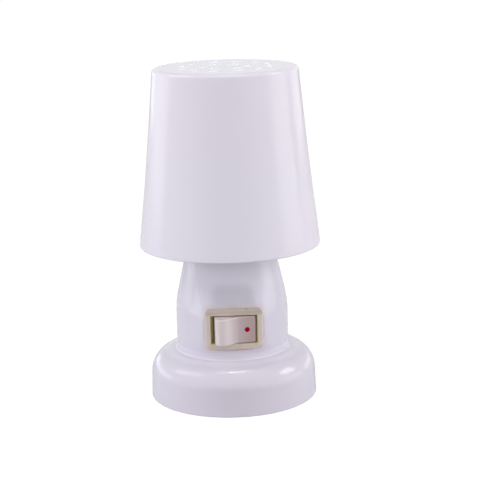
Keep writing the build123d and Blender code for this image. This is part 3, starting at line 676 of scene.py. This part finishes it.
def metal(name, colour, tarnished, roughness, streaks=1.0, tarnish=0.6):
    """A drawn or plated metal with streaks and a little tarnish."""
    material, tree, shader = new_finish(name)
    shader.inputs["Metallic"].default_value = 1.0
    finish = placed_group(tree, drawn_metal, Streaks=streaks, Tarnish=1.0)
    dull = scaled(tree, remapped(tree, finish["Patch"], patch_range), tarnish)
    tree.links.new(mixed(tree, colour, tarnished, dull), shader.inputs["Base Color"])
    uneven = remapped(tree, finish["Patch"], new=(roughness * metal_low, roughness * metal_high))
    tree.links.new(uneven, shader.inputs["Roughness"])
    bumped(tree, shader, finish["Line"], streak_strength, streak_depth)
    return material


nickel = metal("nickel", (0.66, 0.63, 0.58), (0.48, 0.42, 0.34), 0.22)
zinc = metal("zinc", (0.62, 0.63, 0.62), (0.42, 0.41, 0.38), 0.34)
brass = metal("brass", (0.79, 0.58, 0.27), (0.52, 0.34, 0.15), 0.26)
spring_steel = metal("spring_steel", (0.46, 0.46, 0.47), (0.30, 0.27, 0.25), 0.3)
cap_alloy = metal("cap_alloy", (0.80, 0.80, 0.80), (0.60, 0.58, 0.55), 0.28)
solder = metal("solder", (0.62, 0.62, 0.60), (0.45, 0.44, 0.42), 0.42, streaks=0.3)
tungsten = metal("tungsten", (0.20, 0.19, 0.19), (0.12, 0.11, 0.11), 0.4)
print("metals: 7")

# %% [markdown]
# **Clear glass.** The bulb is thin blown glass. A glass shader needs a wall with
# two sides, which the CAD envelope has. Specks of dust and a slow ripple in the
# bump keep it from looking like a computer's glass.

# %% Clear glass
glass_ior, clean_rough, speck_rough, ripple_strength, ripple_depth = 1.47, 0.01, 0.3, 0.15, 0.0002
clear_glass, tree, shader = new_finish("clear_glass")
shader.inputs["Transmission Weight"].default_value = 1.0
shader.inputs["IOR"].default_value = glass_ior
skin = placed_group(tree, moulded_skin, Wave=1.0, Grain=0.0)
marks = placed_group(tree, handling, Hairlines=0.1, Dust=0.4)
rough = maths(tree, "MULTIPLY_ADD", marks["Speck"], speck_rough, clean_rough)
tree.links.new(rough, shader.inputs["Roughness"])
clean_glass, dusty_glass = (0.97, 0.98, 0.98), (0.9, 0.9, 0.89)
tree.links.new(mixed(tree, clean_glass, dusty_glass, marks["Speck"]), shader.inputs["Base Color"])
bumped(tree, shader, skin["Height"], ripple_strength, ripple_depth)
print("glass: 1")

# %% [markdown]
# ## Modelling helpers
#
# Nearly everything on the lamp is turned or moulded. A turned shape starts as a
# wire outline whose corners are rounded with a vertex bevel, and is spun round
# the axis. A moulded one starts as a cube whose edges are bevelled. Joining and
# cutting them is left to the exact boolean, which takes two closed meshes.


# %% Outlines, spins and blocks
def rounded_outline(corners, closed=True, step=7.0):
    """Wire in X and Z through (x, z, rounding) corners; step is degrees per arc segment."""
    bm = bmesh.new()
    points = [Vector((x, 0.0, z)) for x, z, _ in corners]
    verts = [bm.verts.new(p) for p in points]
    count = len(verts)
    for i in range(count if closed else count - 1):
        bm.edges.new((verts[i], verts[(i + 1) % count]))
    for i, (_, _, rounding) in enumerate(corners):
        if rounding:
            turn = (points[i] - points[i - 1]).angle(points[(i + 1) % count] - points[i])
            bmesh.ops.bevel(
                bm, geom=[verts[i]], affect="VERTICES", offset=rounding * math.tan(turn / 2),
                offset_type="OFFSET", segments=max(2, round(math.degrees(turn) / step)),
                profile=0.5, material=-1, clamp_overlap=False,
            )
    return bm


def spun(bm, steps):
    """The outline turned once round Z, with its seam and poles closed."""
    bmesh.ops.spin(
        bm, geom=bm.verts[:] + bm.edges[:], cent=(0, 0, 0), axis=(0, 0, 1),
        dvec=(0, 0, 0), angle=2 * math.pi, steps=steps, use_merge=True,
    )
    bmesh.ops.remove_doubles(bm, verts=bm.verts[:], dist=0.001)
    bmesh.ops.recalc_face_normals(bm, faces=bm.faces[:])
    return bm


def block(low, high):
    """A box between two corners."""
    bm = bmesh.new()
    bmesh.ops.create_cube(bm, size=1.0)
    size = [b - a for a, b in zip(low, high)]
    middle = [(a + b) / 2 for a, b in zip(low, high)]
    bmesh.ops.scale(bm, vec=size, verts=bm.verts[:])
    bmesh.ops.translate(bm, vec=middle, verts=bm.verts[:])
    return bm


def soften(bm, edges, radius, segments=4):
    """Rounds some edges."""
    bmesh.ops.bevel(
        bm, geom=edges, affect="EDGES", offset=radius, offset_type="OFFSET",
        segments=segments, profile=0.5, material=-1, clamp_overlap=True,
    )
    return bm


def edges_along(bm, axis):
    """Edges that run along one axis, 0 for X, 1 for Y and 2 for Z."""
    found = []
    for edge in bm.edges:
        run = edge.verts[1].co - edge.verts[0].co
        if abs(run[axis]) > 0.999 * run.length:
            found.append(edge)
    return found


def edges_at(bm, axis, value):
    """Edges that lie in the plane where one coordinate has a value."""
    return [e for e in bm.edges if all(abs(v.co[axis] - value) < 1e-4 for v in e.verts)]


print("helpers: rounded_outline, spun, block, soften, edges_along, edges_at")

# %% [markdown]
# Rods are moved and turned into place, and shapes that do the same job go into
# one mesh before they are joined or cut, which spares booleans.


# %% Rods and booleans
def rod(radius, length, segments):
    """A closed cylinder along +Z from the origin."""
    bm = bmesh.new()
    bmesh.ops.create_cone(
        bm, cap_ends=True, segments=segments, radius1=radius, radius2=radius, depth=length,
    )
    bmesh.ops.translate(bm, vec=(0, 0, length / 2), verts=bm.verts[:])
    return bm


def moved(bm, place=(0, 0, 0), turns=()):
    """The same shape turned by (degrees, axis) steps and then moved."""
    for degrees, axis in turns:
        turn = Matrix.Rotation(math.radians(degrees), 3, axis)
        bmesh.ops.rotate(bm, cent=(0, 0, 0), matrix=turn, verts=bm.verts[:])
    bmesh.ops.translate(bm, vec=place, verts=bm.verts[:])
    return bm


def together(*shapes):
    """Several shapes in one mesh, each still whole."""
    whole = bmesh.new()
    for shape in shapes:
        mesh = bpy.data.meshes.new("part")
        shape.to_mesh(mesh)
        shape.free()
        whole.from_mesh(mesh)
        bpy.data.meshes.remove(mesh)
    return whole


def boolean(first, second, operation):
    """Two closed shapes joined, or the first cut by the second; both are used up."""
    pair = []
    for shape in (first, second):
        mesh = bpy.data.meshes.new("operand")
        shape.to_mesh(mesh)
        shape.free()
        pair.append(bpy.data.objects.new("operand", mesh))
        bpy.context.scene.collection.objects.link(pair[-1])
    step = pair[0].modifiers.new("boolean", "BOOLEAN")
    step.operation, step.object, step.solver = operation, pair[1], "EXACT"
    bpy.context.view_layer.update()
    result = bmesh.new()
    result.from_object(pair[0], bpy.context.evaluated_depsgraph_get())
    for operand in pair:
        mesh = operand.data
        bpy.data.objects.remove(operand)
        bpy.data.meshes.remove(mesh)
    return result


print("helpers: rod, moved, together, boolean")

# %% [markdown]
# A finished shape is cleaned, shaded smooth up to its sharp edges, and scaled to
# metres. Then it is attached to the body it rides on, and the CAD nodes it stands
# for are hidden.


# %% Finishing a piece
def keep(bm, name, material, body, replaced, sharp=32.0):
    """Turns a shape in millimetres into a finished piece in metres that rides on a body."""
    bmesh.ops.remove_doubles(bm, verts=bm.verts[:], dist=0.0005)
    bmesh.ops.dissolve_degenerate(bm, edges=bm.edges[:], dist=0.0005)
    for face in bm.faces:
        face.smooth = True
    for edge in bm.edges:
        edge.smooth = edge.calc_face_angle(0.0) < math.radians(sharp)
    open_edges = sum(1 for e in bm.edges if not e.is_manifold)
    bmesh.ops.scale(bm, vec=(0.001, 0.001, 0.001), verts=bm.verts[:])
    mesh = bpy.data.meshes.new(name)
    bm.to_mesh(mesh)
    bm.free()
    mesh.materials.append(material)
    piece = bpy.data.objects.new(name, mesh)
    bpy.context.scene.collection.objects.link(piece)
    even = piece.modifiers.new("even_normals", "WEIGHTED_NORMAL")
    even.keep_sharp = True
    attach(piece, body)
    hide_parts(*replaced)
    print(f"{name}: {len(mesh.polygons)} faces, open edges {open_edges}")


print("helper: keep")

# %% [markdown]
# ## The shade
#
# The shade is one thin moulding, a cone that is closed at the top and open below.
# Its side isn't quite straight: it hollows by a third of a millimetre, so a light
# band on it bends softly. The outline is drawn with both walls, because the wall
# shows at the rim, and then spun.

# %% Shade wall
shade_rim, shade_top, shade_wall, shade_hollow = 58.5, 125.0, 1.6, 0.3
rim_radius, top_radius, top_round, inner_round, rim_round = 34.08, 27.0, 1.6, 0.8, 0.56
shade_height = shade_top - shade_rim
lean = (rim_radius - top_radius) / shade_height
inner_top = shade_top - shade_wall
inner_top_radius = top_radius - shade_wall + lean * shade_wall
bm = rounded_outline([
    (0.0, shade_top, 0), (top_radius, shade_top, top_round), (rim_radius, shade_rim, rim_round),
    (rim_radius - shade_wall, shade_rim, rim_round), (inner_top_radius, inner_top, inner_round),
    (0.0, inner_top, 0),
], closed=False)
long_sides = [e for e in bm.edges if abs(e.verts[0].co.z - e.verts[1].co.z) > shade_height / 2]
bmesh.ops.subdivide_edges(bm, edges=long_sides, cuts=24)
for v in bm.verts:
    share = (v.co.z - shade_rim) / shade_height
    if v.co.x > 0 and 0 < share < 1:
        v.co.x -= shade_hollow * 4 * share * (1 - share)
shade_shape = spun(bm, 144)
print("shade wall:", len(shade_shape.faces), "faces")

# %% [markdown]
# The warm air of the bulb leaves through short vents in two rings round a centre
# hole. Each vent is cut with a block that has round ends. A second block, shallow
# and flared, takes the sharp edge off, because a moulded vent never has one.

# %% Vent cutters
vent_length, vent_width, ring_step = 3.6, 1.5, 8.3
vent_rings = ((1, 6, 0.0), (2, 12, 15.0))
cut_depth, chamfer_drop, chamfer_run = 3.0, 0.35, 0.32
straight_half = (vent_length - vent_width) / 2


def vent_blank(depth):
    """A block with the length, width and round ends of a vent, that reaches this far up and down."""
    half = (vent_width / 2, vent_length / 2, depth)
    blank = block([-h for h in half], half)
    return soften(blank, edges_along(blank, 2), vent_width * 0.499, 6)


def flared_up(blank):
    """The same block with its upper rim grown outwards."""
    for v in blank.verts:
        if v.co.z > 0:
            inner_y = max(-straight_half, min(straight_half, v.co.y))
            v.co += 2 * chamfer_run * Vector((v.co.x, v.co.y - inner_y, 0.0)).normalized()
    return blank


print("vents:", sum(count for _, count, _ in vent_rings))

# %% [markdown]
# All the blocks of one kind are put together, so that the boolean cuts them at
# once: first the vents, then their bevels.

# %% Vents and the finished shade
cutters, flares = [moved(rod(vent_width, 2 * cut_depth, 32), (0, 0, shade_top - cut_depth))], []
for ring, count, first in vent_rings:
    for i in range(count):
        turns = [(first + i * 360.0 / count, "Z")]
        for tools, blank in ((cutters, vent_blank(cut_depth)), (flares, flared_up(vent_blank(chamfer_drop)))):
            moved(blank, (ring * ring_step, 0, shade_top))
            tools.append(moved(blank, turns=turns))
for tools in (cutters, flares):
    shade_shape = boolean(shade_shape, together(*tools), "DIFFERENCE")
keep(shade_shape, "shade_shell", opal_shade, "shade", ["shade"])

# %% [markdown]
# ## The body
#
# Base, body, neck and the spigot for the shade are one moulding, open underneath.
# Its outline is spun like the shade's. The base has a big rolled shoulder, the
# body stands on it with a tiny foot round, and the taper starts so softly that
# no line shows.

# %% Body wall
base_radius, base_height, base_draft, shoulder_round = 31.6, 18.6, 0.6, 9.3
body_radius, foot_round, taper_start, taper_round = 21.2, 1.7, 36.5, 30.0
neck_radius, neck_height, neck_bore, bore_top = 16.0, 60.0, 14.6, 58.2
spigot_radius, spigot_top, spigot_bore = 14.4, 67.0, 12.8
holder_mouth, mouth_foot, body_wall = 12.15, 65.2, 1.8
base_bore, bore_radius, base_roof = base_radius - body_wall, body_radius - body_wall, base_height - body_wall
bore_overlap = 0.5
bm = rounded_outline([
    (base_radius, 0.0, 0.5), (base_radius - base_draft, base_height, shoulder_round),
    (body_radius, base_height, foot_round), (body_radius, taper_start, taper_round),
    (neck_radius, neck_height, 0.6), (spigot_radius, neck_height, 0), (spigot_radius, spigot_top, 0.4),
    (holder_mouth, spigot_top, 0), (holder_mouth, mouth_foot, 0), (spigot_bore, mouth_foot, 0),
    (spigot_bore, bore_top, 0), (neck_bore, bore_top, 0), (bore_radius, taper_start, 0),
    (bore_radius, base_roof, 0), (base_bore - base_draft, base_roof, 7.5), (base_bore, 0.0, 0),
], step=5.0)
body_shape = spun(bm, 160)
print("body wall:", len(body_shape.faces), "faces")


def body_bore():
    """The hollow of the body and the neck, reaching a little into the wall, to cut with."""
    under_roof, wide, narrow = base_roof - 0.2, bore_radius + bore_overlap, neck_bore + bore_overlap
    return spun(rounded_outline([
        (0.0, under_roof, 0), (wide, under_roof, 0), (wide, taper_start, 0),
        (narrow, bore_top, 0), (0.0, bore_top, 0),
    ], closed=False), 160)


# %% [markdown]
# The flat switch can't sit on a round body, so the moulding carries a flat seat
# for it. The seat, its window, the bezel and its well are all blocks centred on
# the switch, so they share one helper.

# %% Blocks round the switch
def switch_block(half_width, half_height, front, back):
    """A block round the middle of the switch, between two places along Y."""
    return block((-half_width, front, switch_z - half_height), (half_width, back, switch_z + half_height))


def flared_front(bm, limit, growth):
    """The same block, its corners in front of the limit moved outwards."""
    for v in bm.verts:
        if v.co.y < limit:
            v.co.x += math.copysign(growth, v.co.x)
            v.co.z += math.copysign(growth, v.co.z - switch_z)
    return bm


print("helpers: switch_block, flared_front")

# %% [markdown]
# A mould maker runs the seat's flanks out until they just touch the round wall.
# That is what a convex hull does: it is stretched over the seat's face, built
# from thin plates that grow towards the back, and three rings just inside the
# wall.

# %% Stretched seat
seat_y, plate_depth, edge_round = -20.6, 0.4, 2.6
flat_w, flat_h, seat_corner, corner_growth = 10.0, 7.2, 2.0, 2.5
hug, taper_ring = 0.12, 18.2
ring_sizes = ((20.4, body_radius - hug), (36.0, body_radius - hug), (50.0, taper_ring - hug))
plates = []
for angle in range(0, 51, 10):
    out = edge_round * math.sin(math.radians(angle))
    back = seat_y + edge_round * (1 - math.cos(math.radians(angle)))
    plate = switch_block(flat_w + out, flat_h + out, back, back + plate_depth)
    plates.append(soften(plate, edges_along(plate, 1), seat_corner + corner_growth * out, 6))
seat = together(*plates)
for ring_z, ring_radius in ring_sizes:
    ring = bmesh.ops.create_circle(seat, cap_ends=False, segments=160, radius=ring_radius)["verts"]
    bmesh.ops.translate(seat, vec=(0, 0, ring_z), verts=ring)
hull = bmesh.ops.convex_hull(seat, input=seat.verts[:], use_existing_faces=False)
spare = set(hull["geom_interior"]) | set(hull["geom_unused"])
bmesh.ops.delete(seat, geom=[g for g in spare if isinstance(g, bmesh.types.BMVert)], context="VERTS")
bmesh.ops.recalc_face_normals(seat, faces=seat.faces[:])
print("hull:", len(seat.faces), "faces, open edges", sum(1 for e in seat.edges if not e.is_manifold))

# %% [markdown]
# Only the front of the hull is needed. Its solid middle is taken out with the
# body's bore, apart from the short walls of the window. That bore reaches half a
# millimetre into the wall, because the exact boolean tears shapes whose faces
# lie on one another. Then the seat is joined, its face is cut level, and the
# window is cut.

# %% Seat joined, window cut
seat_w, seat_h, window_back, seat_end, far_out = 11.3, 8.3, -17.2, -4.0, 30
seat = boolean(seat, switch_block(far_out, far_out, seat_end, far_out), "DIFFERENCE")
hollow_middle = switch_block(far_out, seat_h, -far_out, window_back)
hollow_middle = boolean(body_bore(), hollow_middle, "DIFFERENCE")
seat = boolean(seat, hollow_middle, "DIFFERENCE")
body_shape = boolean(body_shape, seat, "UNION")
front = flared_front(switch_block(seat_w, seat_h, -23.0, seat_y), seat_y - 1, 2.4)
body_shape = boolean(body_shape, front, "DIFFERENCE")
window = switch_block(9.5, 6.55, -24.0, -9.7)
body_shape = boolean(body_shape, window, "DIFFERENCE")
print("seat and window:", len(body_shape.faces), "faces")

# %% [markdown]
# At the back a box-shaped saddle grows out of the body and carries the plug. It
# is joined as a solid that has the body's bore cut out, and is then hollowed, with
# two large holes for the pins' tails and two small ones for the screws.

# %% Saddle for the plug
plug_z, saddle_root, saddle_end, pin_offset, plug_screw_offset = 30.8, 8.0, 27.0, 9.0, 3.15
saddle_w, saddle_h, saddle_wall, saddle_end_wall = 20.0, 9.5, 1.8, 2.0


def plug_block(half_width, half_height, front, back):
    """A block round the middle of the plug, between two places along Y."""
    return block((-half_width, front, plug_z - half_height), (half_width, back, plug_z + half_height))


def two_rods(radius, length, segments, offset, y):
    """Two rods along Y, side by side at the height of the plug."""
    return [moved(rod(radius, length, segments), (x, y, plug_z), [(-90, "X")]) for x in (-offset, offset)]


saddle = plug_block(saddle_w, saddle_h, saddle_root, saddle_end)
soften(saddle, edges_along(saddle, 1), 4.0, 8)
soften(saddle, edges_at(saddle, 1, saddle_end), 0.7, 4)
saddle = boolean(saddle, body_bore(), "DIFFERENCE")
body_shape = boolean(body_shape, saddle, "UNION")
inside = (saddle_w - saddle_wall, saddle_h - saddle_wall, saddle_root, saddle_end - saddle_end_wall)
room = plug_block(*inside)
soften(room, edges_along(room, 1), 2.2, 5)
body_shape = boolean(body_shape, room, "DIFFERENCE")
through = two_rods(3.0, 6.0, 40, pin_offset, 23.0) + two_rods(1.65, 6.0, 24, plug_screw_offset, 23.0)
body_shape = boolean(body_shape, together(*through), "DIFFERENCE")
print("saddle:", len(body_shape.faces), "faces")

# %% [markdown]
# Three posts hang from the roof of the base for the screws of the bottom cover.

# %% Screw posts and the finished body
post_angles, screw_circle, cup_top, post_root = (30.0, 150.0, 270.0), 23.5, 4.0, 0.3


def three_rods(radius, length, segments, z):
    """Upright rods in one mesh, one at each screw of the bottom cover."""
    rods = [moved(rod(radius, length, segments), (screw_circle, 0, z)) for _ in post_angles]
    return together(*[moved(r, turns=[(a, "Z")]) for r, a in zip(rods, post_angles)])


posts = three_rods(3.0, base_roof + post_root - cup_top, 32, cup_top)
body_shape = boolean(body_shape, posts, "UNION")
body_shape = boolean(body_shape, three_rods(1.45, 10.0, 24, 3.0), "DIFFERENCE")
keep(body_shape, "body_shell", opal_body, "lamp", ["body_housing"])

# %% [markdown]
# ## The switch
#
# The switch snaps into its window from the front. Its bezel is a thin frame with
# rounded corners and a flared inner edge, moulded in one with the box behind it.
# The flare round the well is cut as well, so the light line there is real.

# %% Bezel and box
bezel_y, box_back, well_w, well_h = -22.4, -7.6, 8.45, 5.2
bezel = switch_block(10.6, 7.6, bezel_y, seat_y)
soften(bezel, edges_along(bezel, 1), 1.4, 8)
soften(bezel, edges_at(bezel, 1, bezel_y), 0.5, 5)
box = switch_block(9.4, 6.45, seat_y - 0.2, box_back)
soften(box, edges_at(box, 1, box_back), 0.3, 2)
bezel = boolean(bezel, box, "UNION")
well = switch_block(well_w, well_h, -24.0, -9.2)
soften(well, edges_along(well, 1), 0.3, 3)
bezel = boolean(bezel, well, "DIFFERENCE")
flare_growth = 0.5
flare = switch_block(well_w, well_h, bezel_y - flare_growth, bezel_y + flare_growth)
bezel = boolean(bezel, flared_front(flare, bezel_y, flare_growth), "DIFFERENCE")
print("bezel:", len(bezel.faces), "faces")

# %% [markdown]
# Two ledges at each end of the well close the gap behind the rocker, one behind
# the other, and stop short of the contact blade. Then come the holes for the
# rocker's trunnions and the slots for the two terminals.

# %% Ledges, trunnion holes and terminal slots
ledge_x, ledge_h = 8.3, 5.4
for half, ledge_front, ledge_back in ((0.5, -20.3, -9.0), (1.1, -18.4, -15.0)):
    ledges = [
        block((x - half, ledge_front, switch_z - ledge_h), (x + half, ledge_back, switch_z + ledge_h))
        for x in (-ledge_x, ledge_x)
    ]
    bezel = boolean(bezel, together(*ledges), "UNION")
pivot, trunnion_hole = Vector((0.0, -20.4, switch_z)), 12.7
sockets = [moved(rod(1.05, trunnion_hole, 24), (0, pivot.y, switch_z - trunnion_hole / 2))]
for x in (-6.0, 0.0):
    sockets.append(block((x - 0.4, -9.5, switch_z - 2.4), (x + 0.4, -7.0, switch_z + 2.4)))
bezel = boolean(bezel, together(*sockets), "DIFFERENCE")
keep(bezel, "switch_bezel", bezel_cream, "lamp", ["switch_housing"])

# %% [markdown]
# The rocker is drawn level, as two wings that meet in a soft valley. One wing
# ends in a full, barrel-like hump that the thumb finds in the dark, and the other
# is flat, with the marker on it. It could be cut from a block, but the outline
# holds all its curves, so the outline is filled and pushed out to the rocker's
# width. Then the whole thing is tipped by twelve degrees.

# %% Rocker
tilt, half_width, rocker_back, back_half = 12.0, 5.0, 2.0, 7.0
hump_x, hump_y, hump_round = -8.83, -7.94, 3.3
valley_x, valley_y, valley_round = 0.7, -3.0, 1.4
flat_x, flat_y, flat_round = 7.70, -3.45, 0.9


def tipped(bm):
    """Moves a shape drawn level at the pivot to the rocker's place at rest."""
    return moved(bm, pivot, [(tilt, "Z")])


def pushed_out(bm, push):
    """A closed outline filled and pushed out to a solid."""
    face = bmesh.ops.contextual_create(bm, geom=bm.edges[:])["faces"]
    grown = bmesh.ops.extrude_face_region(bm, geom=face)["geom"]
    bmesh.ops.translate(bm, vec=push, verts=[g for g in grown if isinstance(g, bmesh.types.BMVert)])
    bmesh.ops.recalc_face_normals(bm, faces=bm.faces[:])
    return bm


rocker_blank = rounded_outline([
    (hump_x, hump_y, hump_round), (valley_x, valley_y, valley_round), (flat_x, flat_y, flat_round),
    (back_half, rocker_back, 0), (-back_half, rocker_back, 0),
], step=9.0)
moved(rocker_blank, (0, 0, -half_width), [(-90, "X")])
pushed_out(rocker_blank, (0, 0, 2 * half_width))
print("rocker blank y", min(v.co.y for v in rocker_blank.verts), max(v.co.y for v in rocker_blank.verts))

# %% [markdown]
# Its long edges are rounded, because a finger runs over them. Behind, the blank
# is hollowed and carries a short tube for the sprung plunger and the two
# trunnions it turns on.

# %% Rocker, finished
ends = edges_at(rocker_blank, 2, -half_width) + edges_at(rocker_blank, 2, half_width)
ends = [e for e in ends if not all(v.co.y > rocker_back - 0.1 for v in e.verts)]
soften(rocker_blank, ends, 0.5, 4)
hollow = block((-5.4, -1.4, -3.8), (5.4, 3.0, 3.8))
rocker = boolean(rocker_blank, hollow, "DIFFERENCE")
tube_bore, tube_radius, tube_root, tube_end = 1.15, 1.9, -1.6, 4.2
stem = spun(rounded_outline([
    (tube_bore, tube_root, 0), (tube_radius, tube_root, 0), (tube_radius, tube_end, 0.2),
    (tube_bore, tube_end, 0),
]), 40)
moved(stem, turns=[(-90, "X")])
peg_length, peg_middle = 1.6, 5.4
pegs = [moved(rod(1.0, peg_length, 32), (0, 0, side * peg_middle - peg_length / 2)) for side in (-1, 1)]
rocker = boolean(rocker, together(stem, *pegs), "UNION")
keep(tipped(rocker), "rocker_cap", rocker_white, "rocker", ["switch_rocker"])

# %% [markdown]
# The marker is a lacquer-filled dot on the flat wing. A shallow dome catches a
# small light, where a flat disc would look printed.

# %% Marker
dot_place, dot_radius, dot_depth = 4.2, 0.95, -1.0
flat_slope = (flat_y - valley_y) / (flat_x - valley_x)
dot = spun(rounded_outline([
    (0.0, dot_depth, 0), (dot_radius, dot_depth, 0), (dot_radius, 0.03, 0.05),
    (0.55, 0.10, 0.5), (0.0, 0.11, 0),
], closed=False), 40)
dot_seat = (dot_place, valley_y + flat_slope * (dot_place - valley_x), 0)
moved(dot, dot_seat, [(90, "X"), (math.degrees(math.atan(flat_slope)), "Z")])
keep(tipped(dot), "rocker_marker", marker_red, "rocker", ["rocker_dot"], sharp=60.0)

# %% [markdown]
# ## The plug
#
# The plug block is a flattened hexagon that slides into a wall socket, with a
# thin flange against the saddle. Both are filled outlines pushed along Y. The
# pins are turned brass, and keep their CAD shape.


# %% Plug block
nose_w, nose_h, nose_flat, nose_side, nose_corner = 17.65, 6.85, 13.0, 2.5, 1.5
plug_end, flange_end = 52.0, saddle_end + 2.5


def hexagon(growth, y_high):
    """The plug's outline, grown a little, from the saddle to a place along Y."""
    wide, tall, flat = nose_w + growth, nose_h + growth, nose_flat + growth * 0.5
    quarter = ((-wide, nose_side), (-flat, tall), (flat, tall), (wide, nose_side))
    corners = quarter + tuple((-x, -z) for x, z in quarter)
    bm = rounded_outline([(x, z + plug_z, nose_corner) for x, z in corners], step=12.0)
    moved(bm, (0, saddle_end, 0))
    return pushed_out(bm, (0, y_high - saddle_end, 0))


nose_block = hexagon(0.0, plug_end)
soften(nose_block, edges_at(nose_block, 1, plug_end), 0.8, 4)
flange = hexagon(1.4, flange_end)
soften(flange, edges_at(flange, 1, flange_end), 0.5, 3)
plug = boolean(nose_block, flange, "UNION")
plug = boolean(plug, together(*two_rods(2.9, 4.5, 40, pin_offset, 23.0)), "UNION")
print("plug block:", len(plug.faces), "faces")

# %% [markdown]
# Two long bores take the pins, with wider roots at the saddle, and two short ones
# take the screws.

# %% Bores of the plug
drilled = two_rods(1.5, 32.0, 32, pin_offset, 22.0) + two_rods(1.45, 10.0, 24, plug_screw_offset, 24.0)
plug = boolean(plug, together(*drilled), "DIFFERENCE")
plug = boolean(plug, together(*two_rods(2.0, 23.5, 32, pin_offset, saddle_end)), "DIFFERENCE")
keep(plug, "plug_body", plug_satin, "lamp", ["plug_block"])

# %% [markdown]
# ## The bottom cover
#
# A flat lid closes the base. It stands on a low outer ring, so that only the ring
# touches the table, and three cups hide the screw heads. The ring comes from the
# spun outline; the cups are joined and drilled.

# %% Bottom cover
lid_foot, lid_top, ring_inner, ring_outer, lid_radius = 0.5, 1.6, 26.9, 29.2, 29.5
lid = spun(rounded_outline([
    (0.0, lid_foot, 0), (26.4, lid_foot, 0.6), (ring_inner, 0.0, 0.2), (ring_outer, 0.0, 0.2),
    (lid_radius, 0.4, 0), (29.45, lid_top, 0.2), (0.0, lid_top, 0),
], closed=False), 128)
lid = boolean(lid, three_rods(4.35, cup_top - lid_foot, 40, lid_foot), "UNION")
lid = boolean(lid, three_rods(3.15, 3.4, 40, -1.0), "DIFFERENCE")
lid = boolean(lid, three_rods(1.65, 4.0, 24, 1.0), "DIFFERENCE")
keep(lid, "bottom_lid", cover_satin, "lamp", ["bottom_cover"])

# %% [markdown]
# ## The filament
#
# The filament is a tungsten coil that hangs in an arch between its two leads. A
# curve with a round bevel suits it: its points follow the arch and circle round
# it, and Blender sweeps the wire.

# %% Filament
lead_tip = 92.18
arch_half, arch_rise, coil_radius, coil_turns = 4.0, 3.2, 0.2, 34
coil = bpy.data.curves.new("filament_coil", "CURVE")
coil.dimensions = "3D"
wire_radius, points_per_turn = 0.08, 10
coil.bevel_depth = wire_radius * 0.001
coil.bevel_resolution = 1
steps = coil_turns * points_per_turn
line = coil.splines.new("POLY")
line.points.add(steps)
arch_radius = (arch_half ** 2 + arch_rise ** 2) / (2 * arch_rise)
arch_span = 2 * math.asin(arch_half / arch_radius)
for i in range(steps + 1):
    share = i / steps
    along = (share - 0.5) * arch_span
    out = Vector((math.sin(along), 0.0, math.cos(along)))
    spin = 2 * math.pi * coil_turns * share
    centre = Vector((0.0, 0.0, lead_tip + arch_rise - arch_radius)) + out * arch_radius
    point = centre + coil_radius * (math.cos(spin) * out + math.sin(spin) * Vector((0.0, 1.0, 0.0)))
    line.points[i].co = (*(point * 0.001), 1.0)
filament = bpy.data.objects.new("filament_coil", coil)
bpy.context.scene.collection.objects.link(filament)
coil.materials.append(tungsten)
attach(filament, "bulb")
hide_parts("bulb_filament")
print("filament: turns", coil_turns)

# %% [markdown]
# ## Finishes for the pieces that keep their CAD shape
#
# Screws, pins, terminals, lampholder and bulb already have their exact shape. A
# CAD node takes a new finish in its material slots, and nothing else about it is
# touched.

# %% Finishes of the CAD nodes
finishes = {
    opal_shade: ["shade_collar"],
    zinc: ["cover_screws", "plug_screws"],
    cover_satin: ["rocker_plunger"],
    spring_steel: ["plunger_spring"],
    brass: ["contact_blade", "middle_terminal", "load_terminal", "pin_tag_left", "pin_tag_right",
            "lampholder_shell", "lampholder_contact", "lampholder_side_tab"],
    nickel: ["plug_pin_left", "plug_pin_right"],
    sleeve_satin: ["pin_sleeve_left", "pin_sleeve_right"],
    holder_phenolic: ["lampholder_body", "lampholder_ring"],
    clear_glass: ["bulb_glass", "bulb_stem"],
    cap_alloy: ["bulb_cap"],
    foot_glass: ["bulb_insulator"],
    solder: ["bulb_contact"],
    cement: ["bulb_cement"],
    tungsten: ["bulb_leads"],
    wire_brown: ["wire_line", "wire_switched"],
    wire_blue: ["wire_neutral"],
}
dressed = 0
for material, names in finishes.items():
    for name in names:
        mesh = nodes[name].data
        mesh.materials.clear()
        mesh.materials.append(material)
        dressed += 1
print("CAD nodes dressed:", dressed, "of", len(nodes))
